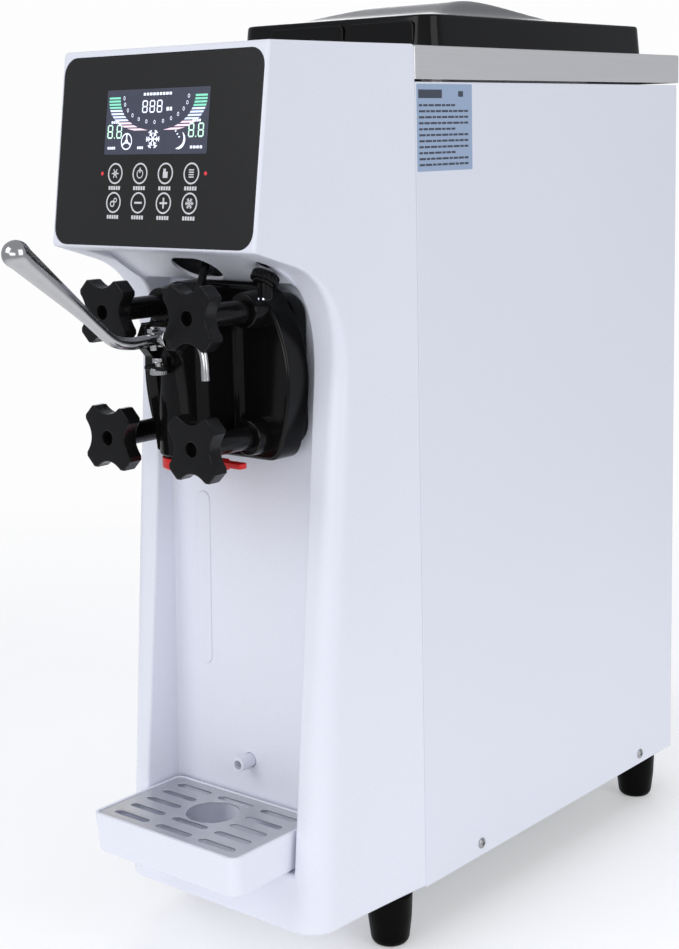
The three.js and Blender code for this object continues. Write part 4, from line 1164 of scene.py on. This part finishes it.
def make_head():
    bm = slab(bmesh.new(), cover_outline(), HEAD_FRONT, PLATE_BACK, 1.0, put=facing, steps=4,
              low_edge=2.6)
    slab(bm, rounded_rect(-61, 61, HEAD_Z - 56, HEAD_Z + 54, 18), PLATE_BACK - 1, -69.3, put=facing)
    bore = 13
    knob_room = 28  # clears the star knobs as they turn
    valve_low, valve_high = 384, 474
    nose = [*circle(0, VALVE_Y, VALVE_RADIUS, 48)[24:], (VALVE_RADIUS, VALVE_Y)]
    outline = [(VALVE_RADIUS, HEAD_FRONT + 2), (-VALVE_RADIUS, HEAD_FRONT + 2), *nose]
    slab(bm, outline, valve_low, valve_high, 1.6, [circle(0, VALVE_Y, bore)])
    low, high = valve_low - 6, valve_low + 2
    outlet = [(bore, low), (19, low), (19, high), (bore, high), (bore, low)]
    turned(bm, outlet, (0, VALVE_Y), sides=40)
    ear = [(-134, 478), (-157, 478), (-157, 461.4), (-150.5, 454.4), (-141.5, 386), (-134, 386)]
    ear = rounded(ear, [0, 3, 2, 3, 2, 0])
    for sign, knob in ((-1, "upper_left"), (1, "upper_right")):
        edges = sorted((sign * YOKE_INNER, sign * YOKE_OUTER))
        side = slab(bmesh.new(), ear, *edges, 0.9, put=sideways)
        face_outward(side)
        room = slab(bmesh.new(), circle(*KNOBS[knob], knob_room, 48), -175, -152.5, put=facing)
        add_mesh(bm, carve(side, [room]))
        slab(bm, stadium(sign * 20 - 12, sign * 20 + 12, HEAD_FRONT - 5, HEAD_FRONT + 17, 14),
             HEAD_Z - 42, HEAD_Z + 38, 3)
    slab(bm, rounded_rect(-10, 10, -160.5, -139, 2.5), 446.6, 449.6, 0.6)
    boss = soft_profile([(0, HEAD_FRONT + 1), (14, HEAD_FRONT + 1), (12.6, KNOB_SEAT),
                         (0, KNOB_SEAT)], 1.2)
    for centre in KNOBS.values():
        turned(bm, boss, centre, facing, 40)
    make_piece("head_cover", bm, "black_gloss", "dispensing_head")


def star_outline():
    """Four broad lobes on the diagonals, scalloped between them."""
    reach, half_end, waist = 26.3, 7.2, 17
    loop = []
    for lobe in range(4):
        middle = pi / 4 + lobe * pi / 2
        along = Vector((cos(middle), sin(middle)))
        across = Vector((-along.y, along.x))
        start = along * reach - across * half_end
        end = along * reach + across * half_end
        chamfer = 2.2
        loop += [tuple(start - along * chamfer), tuple(start + across * chamfer),
                 tuple(end - across * chamfer), tuple(end - along * chamfer)]
        next_axis = middle + pi / 4
        axis = Vector((cos(next_axis), sin(next_axis)))
        edge = end.dot(axis)
        next_start = axis * (2 * edge) - end
        pull = axis * (2 * waist - edge)
        valley = curve(tuple(end), tuple(pull), tuple(next_start), 14)
        loop += valley[1:-2]
    return loop


def make_knob(name, x, z):
    front, socket = -168, 5
    back = front + 12
    bm = bmesh.new()
    outline = [(x + u, z + v) for u, v in star_outline()]
    slab(bm, outline, front, back, 1.2, [circle(x, z, socket, 24)], facing, 2)
    rod(bm, 8, front + 7, KNOB_SEAT - GAP, 0.6, (x, z), facing)
    root = [(0, back - 1), (12, back - 1), (9, back + 5), (0, back + 5)]
    turned(bm, soft_profile(root, 1), (x, z), facing)
    make_piece(f"knob_{name}_star", bm, "black_satin", f"star_knob_{name}")


HANDLE_TIP = (-275.5, 534.6)


def make_handle():
    """A round rod that bends up and forward, thickens into a grip and ends in a ball."""
    bends = [(-148, 468.4), (-166, 467.6), (-182, 467.6), (-196, 471.2), (-210, 481.8),
             (-227, 496), (-244, 509.6), (-260, 522.3), HANDLE_TIP]
    path = smooth_path([(0, y, z) for y, z in bends])
    heading = (path[-1] - path[-2]).normalized()
    ball = 9.2
    reach = ball * 0.99  # just short of the ball's pole, where the rod would shrink to nothing
    path += [Vector((0, *HANDLE_TIP)) + heading * reach * s for s, _ in quarter(8)[1:]]
    total = path_lengths(path)[-1]
    centre = total - reach
    grip_start = total - 84

    def radius(travelled):
        grip = lerp(4.4, 8.9, clamp((travelled - grip_start) / 78))
        if travelled < centre - ball:
            return grip
        bulge = sqrt(max(0.0, 1 - ((travelled - centre) / ball) ** 2)) * ball
        return max(bulge, grip) if travelled < centre else max(0.6, bulge)

    bm = bmesh.new()
    swept(bm, path, radius, 28)
    rod(bm, 7.5, -7.6, 7.6, 0.8, PIVOT, sideways)
    arm, droop = 26, radians(18)
    inner_ball = Vector((0, PIVOT[0] + arm * cos(droop), PIVOT[1] - arm * sin(droop)))
    swept(bm, [Vector((0, *PIVOT)), inner_ball], 3.2, 16)
    bmesh.ops.create_uvsphere(bm, u_segments=20, v_segments=12, radius=4.1,
                              matrix=Matrix.Translation(inner_ball))
    bolt = (0, -158.5)
    rod(bm, 2.8, 460.5, 477, 0.7, bolt, sides=20)
    slab(bm, circle(*bolt, 4.6, 6), 472.8, 475.6, 0.4)
    make_piece("lever_handle", bm, "chrome", "draw_handle")


def make_pin():
    y, z = PIVOT
    route = [(-21, y, z), (-6, y, z), (12, y, z), (28, y, z), (34.5, y, z - 2.4), (38.2, y, z - 8),
             (39.5, y, z - 16), (40, y, z - 27)]
    bm = bmesh.new()
    swept(bm, smooth_path(route, 6), 3, 20)
    make_piece("hooked_pin", bm, "chrome", "handle_pin")


def make_adjuster():
    y = -155
    low, high = box_mm("adjusting_screw")
    bm = bmesh.new()
    foot = low.z + 6
    turned(bm, soft_profile([(0, foot), (2.4, foot), (2.4, high.z - 3), (4.2, high.z - 3),
                             (4.2, high.z), (0, high.z)], 0.5), (0, y), sides=20)
    slab(bm, ribbed(0, y, 6.0, 0.2, 24, 72), foot, foot + 4.6, 0.4)
    make_piece("flow_screw", bm, "chrome", "adjusting_screw")
    spring = bmesh.new()
    turns, radius, bottom, rise = 2.2, 3.7, 450.6, 3.8
    coil = []
    for i in range(49):
        angle = i / 48 * turns * 2 * pi
        coil.append(Vector((radius * cos(angle), y + radius * sin(angle), bottom + rise * i / 48)))
    swept(spring, coil, 0.55, 8)
    make_piece("flow_spring", spring, "chrome", "adjuster_spring")


def make_nozzle_cap():
    top, bottom, radius = 383, 374, 20.6
    bm = bmesh.new()
    cup = [(0, bottom), (radius - 1, bottom), (radius, bottom + 1.2), (radius, top - 1.2),
           (radius - 0.4, top - 0.8), (19.5, top - 0.8), (19.5, bottom + 4), (0, bottom + 4)]
    turned(bm, cup, (0, VALVE_Y), sides=48)
    y = VALVE_Y
    slab(bm, rounded_rect(19, 33, y - 6, y + 6, 2.5), bottom + 0.4, top - 1, 0.8)
    slab(bm, rounded_rect(30, 51, y - 4, y + 4, 2.5), top - 5.6, top - 1.6, 0.8)
    make_piece("outlet_cap", bm, "red_plastic", "nozzle_cap")


def make_switch_lever():
    x, y, z = 3, -105, 524
    side = [(y - 2, z + 3), (y - 3, z - 2), (-122.6, 488), (-118.6, 487.6), (y + 1.2, z - 3),
            (y + 2, z + 2)]
    outline = rounded(side, [1, 1, 1.8, 1.8, 1, 1])
    bm = slab(bmesh.new(), outline, x - 2.6, x + 2.6, 0.8, put=sideways)
    make_piece("switch_arm", bm, "black_satin", "switch_lever")


def make_lamp():
    """A round lens under a ribbed ring that lies against the sloping roof of the bay."""
    x, y = LAMP
    lens = [(0, 507), (4.9, 507)]
    lens += [(4.9 * c, 495.5 - 3.4 * s) for s, c in quarter(6)]
    bm = turned(bmesh.new(), lens, LAMP, sides=28)
    tilt = Matrix.Translation((x, y, 508.5)) @ Matrix.Rotation(radians(-33.5), 4, "X")

    def on_slope(u, v, w):
        return tilt @ Vector((u, v, w))

    slab(bm, ribbed(0, 0, 9.7, 0.35, 20, 160), -2.5, 3.5, 0.8, put=on_slope)
    rod(bm, 7.4, -4.4, 3, 0.8, (0, 0), on_slope, 28)
    make_piece("lamp_socket", bm, "black_gloss", "work_lamp")
    diodes = bmesh.new()
    for side in (-1, 1):
        spot = Matrix.Translation((x + side * 1.9, y - 3.9, 495.2))
        bmesh.ops.create_icosphere(diodes, subdivisions=2, radius=0.9, matrix=spot)
    make_piece("lamp_diodes", diodes, "display", paint="lit_white")


def make_drain():
    bm = bmesh.new()
    pipe = [(3.6, -89), (4.9, -89), (5.4, -88.4), (5.4, -60), (9, -60), (9, -54), (5.4, -54),
            (5.4, -52), (3.6, -52), (3.6, -89)]
    turned(bm, pipe, (0, DRAIN_Z), facing, 28)
    make_piece("drain_tube", bm, "white_plastic", "drain_spout")


# ---- drip tray and grille

TRAY_HALF = 72.4
TRAY_FRONT = -171.3
TRAY_BACK = -79
TRAY_LOW = 82.3
TRAY_HIGH = 113.3


def tray_loop(inset, z, corner):
    radius = max(2, corner - inset)
    loop = rounded_rect(-TRAY_HALF + inset, TRAY_HALF - inset, TRAY_FRONT + inset,
                        TRAY_BACK - inset, radius, 10)
    return [(u, v, z) for u, v in loop]


def make_tray():
    low, high = TRAY_LOW, TRAY_HIGH
    bottom = 4.5
    loops = [tray_loop(0.8 + bottom * (1 - s), low + bottom * (1 - c), 11) for s, c in quarter(6)]
    # from the rim's outer edge over and down into the basin: inset, depth and corner
    wall = ((0, 1.2, 7), (0.35, 0.35, 7), (1.2, 0, 7), (2, 0, 7), (2.4, 0.5, 7), (2.4, 2.6, 7),
            (8.6, 2.7, 12), (9, 3.2, 12), (11, high - low - 5, 15), (14, high - low - 2.6, 18))
    for inset, below, corner in wall:
        loops.append(tray_loop(inset, high - below, corner))
    bm = bmesh.new()
    stack(bm, loops)
    make_piece("tray_basin", bm, "white_plastic", "drip_tray")


def make_grille():
    edge = 2.8
    top = TRAY_HIGH - 0.9
    half = TRAY_HALF - edge
    middle = (TRAY_FRONT + TRAY_BACK) / 2
    pitch = 16.3
    holes = [circle(0, middle + pitch / 2, 20, 48)]
    for row in range(5):
        y = middle + (row - 2) * pitch
        for column in (-1, 0, 1):
            if column == 0 and row in (2, 3):
                continue
            x = column * 43
            holes.append(stadium(x - 17, x + 17, y - 3, y + 3, 6))
    outline = rounded_rect(-half, half, TRAY_FRONT + edge, TRAY_BACK - edge, 5, 10)
    bm = slab(bmesh.new(), outline, top - 1.2, top, 0.35, holes, steps=2)
    make_piece("grille_plate", bm, "stainless", "drip_grille", paint="brushed_across")


# ---- the rest of the CAD nodes


def paint_cad_nodes():
    """Every CAD node that still shows takes the finish of its slot in the record."""
    slots = {part["node"]: part["material_slot"] for part in frame["record"]["subparts"]}
    for name, node in frame["nodes"].items():
        node.data.materials.clear()
        node.data.materials.append(FINISHES[slots[name]])


# ---- the stage


def floor_paper():
    """Pale paper with a glow of its own, fading out away from the machine."""
    nodes = Nodes("floor_paper")
    set_inputs(nodes.shader, {"Roughness": 0.8, "Emission Color": (1, 1, 1, 1),
                              "Emission Strength": 0.27})
    nodes.colour(nodes.noise(18, 4.0), (0.795, 0.795, 0.8), (0.805, 0.805, 0.81))
    reach = nodes.add("ShaderNodeVectorMath", {}, operation="LENGTH")
    nodes.link(nodes.where, reach.inputs[0])
    fade = nodes.ranged(reach.outputs["Value"], 0.55, 1.7, 1.0, 0.0, interpolation_type="SMOOTHSTEP")
    nodes.link(fade, nodes.shader.inputs["Alpha"])
    return nodes.material


def make_floor():
    bm = bmesh.new()
    bmesh.ops.create_grid(bm, x_segments=8, y_segments=8, size=6)
    floor = new_object("floor", mesh_from(bm, "floor"))
    floor.data.materials.append(floor_paper())


def make_world():
    """Bright to the camera, softer to the object, so that black parts stay dark."""
    world = bpy.data.worlds.new("studio")
    bpy.context.scene.world = world
    world.use_nodes = True
    tree = world.node_tree
    tree.nodes.clear()

    def backdrop(colour, strength):
        node = tree.nodes.new("ShaderNodeBackground")
        set_inputs(node, {"Color": (*colour, 1), "Strength": strength})
        return node.outputs["Background"]

    choose = tree.nodes.new("ShaderNodeMixShader")
    path = tree.nodes.new("ShaderNodeLightPath")
    output = tree.nodes.new("ShaderNodeOutputWorld")
    tree.links.new(path.outputs["Is Camera Ray"], choose.inputs["Fac"])
    tree.links.new(backdrop((0.93, 0.95, 1.0), 0.5), choose.inputs[1])
    tree.links.new(backdrop((0.985, 0.985, 0.99), 1.0), choose.inputs[2])
    tree.links.new(choose.outputs["Shader"], output.inputs["Surface"])


def softbox(name, place, target, width, height, power, mirrored=True):
    data = bpy.data.lights.new(name, "AREA")
    data.shape = "RECTANGLE"
    data.size = width
    data.size_y = height
    data.energy = power
    light = new_object(name, data)
    light.location = place
    light.visible_glossy = mirrored
    aim = Vector(target) - Vector(place)
    light.rotation_euler = aim.to_track_quat("-Z", "Y").to_euler()


def make_lights():
    centre = (0, 0, 0.35)
    softbox("key", (-0.9, -2.6, 1.9), centre, 1.8, 1.8, 24)
    softbox("side", (2.8, -0.2, 1.3), centre, 1.8, 2.2, 22)
    softbox("fill", (1.2, -3.0, 0.75), (0, 0, 0.5), 2.4, 0.9, 17)
    softbox("top", (0, 0, 2.8), centre, 2.0, 2.0, 12, mirrored=False)
    softbox("back", (-1.2, 2.6, 1.6), centre, 2.0, 2.0, 12, mirrored=False)
    softbox("horizon", (-2.2, 2.5, 1.2), (0, 0, 0.7), 3.0, 0.4, 6)


bpy.context.scene.view_settings.view_transform = "Standard"
make_world()
make_lights()
make_floor()
paint_cad_nodes()
make_fascia()
make_glass()
make_screen()
make_keys()
make_side_panel(1)
make_side_panel(-1)
make_screws()
make_rim()
make_rear_panel()
for foot_corner in ("front_right", "front_left", "rear_right", "rear_left"):
    make_foot(foot_corner)
make_gland()
make_label()
make_lid()
make_head()
for knob_name, (knob_x, knob_z) in KNOBS.items():
    make_knob(knob_name, knob_x, knob_z)
make_handle()
make_pin()
make_adjuster()
make_nozzle_cap()
make_switch_lever()
make_lamp()
make_drain()
make_tray()
make_grille()
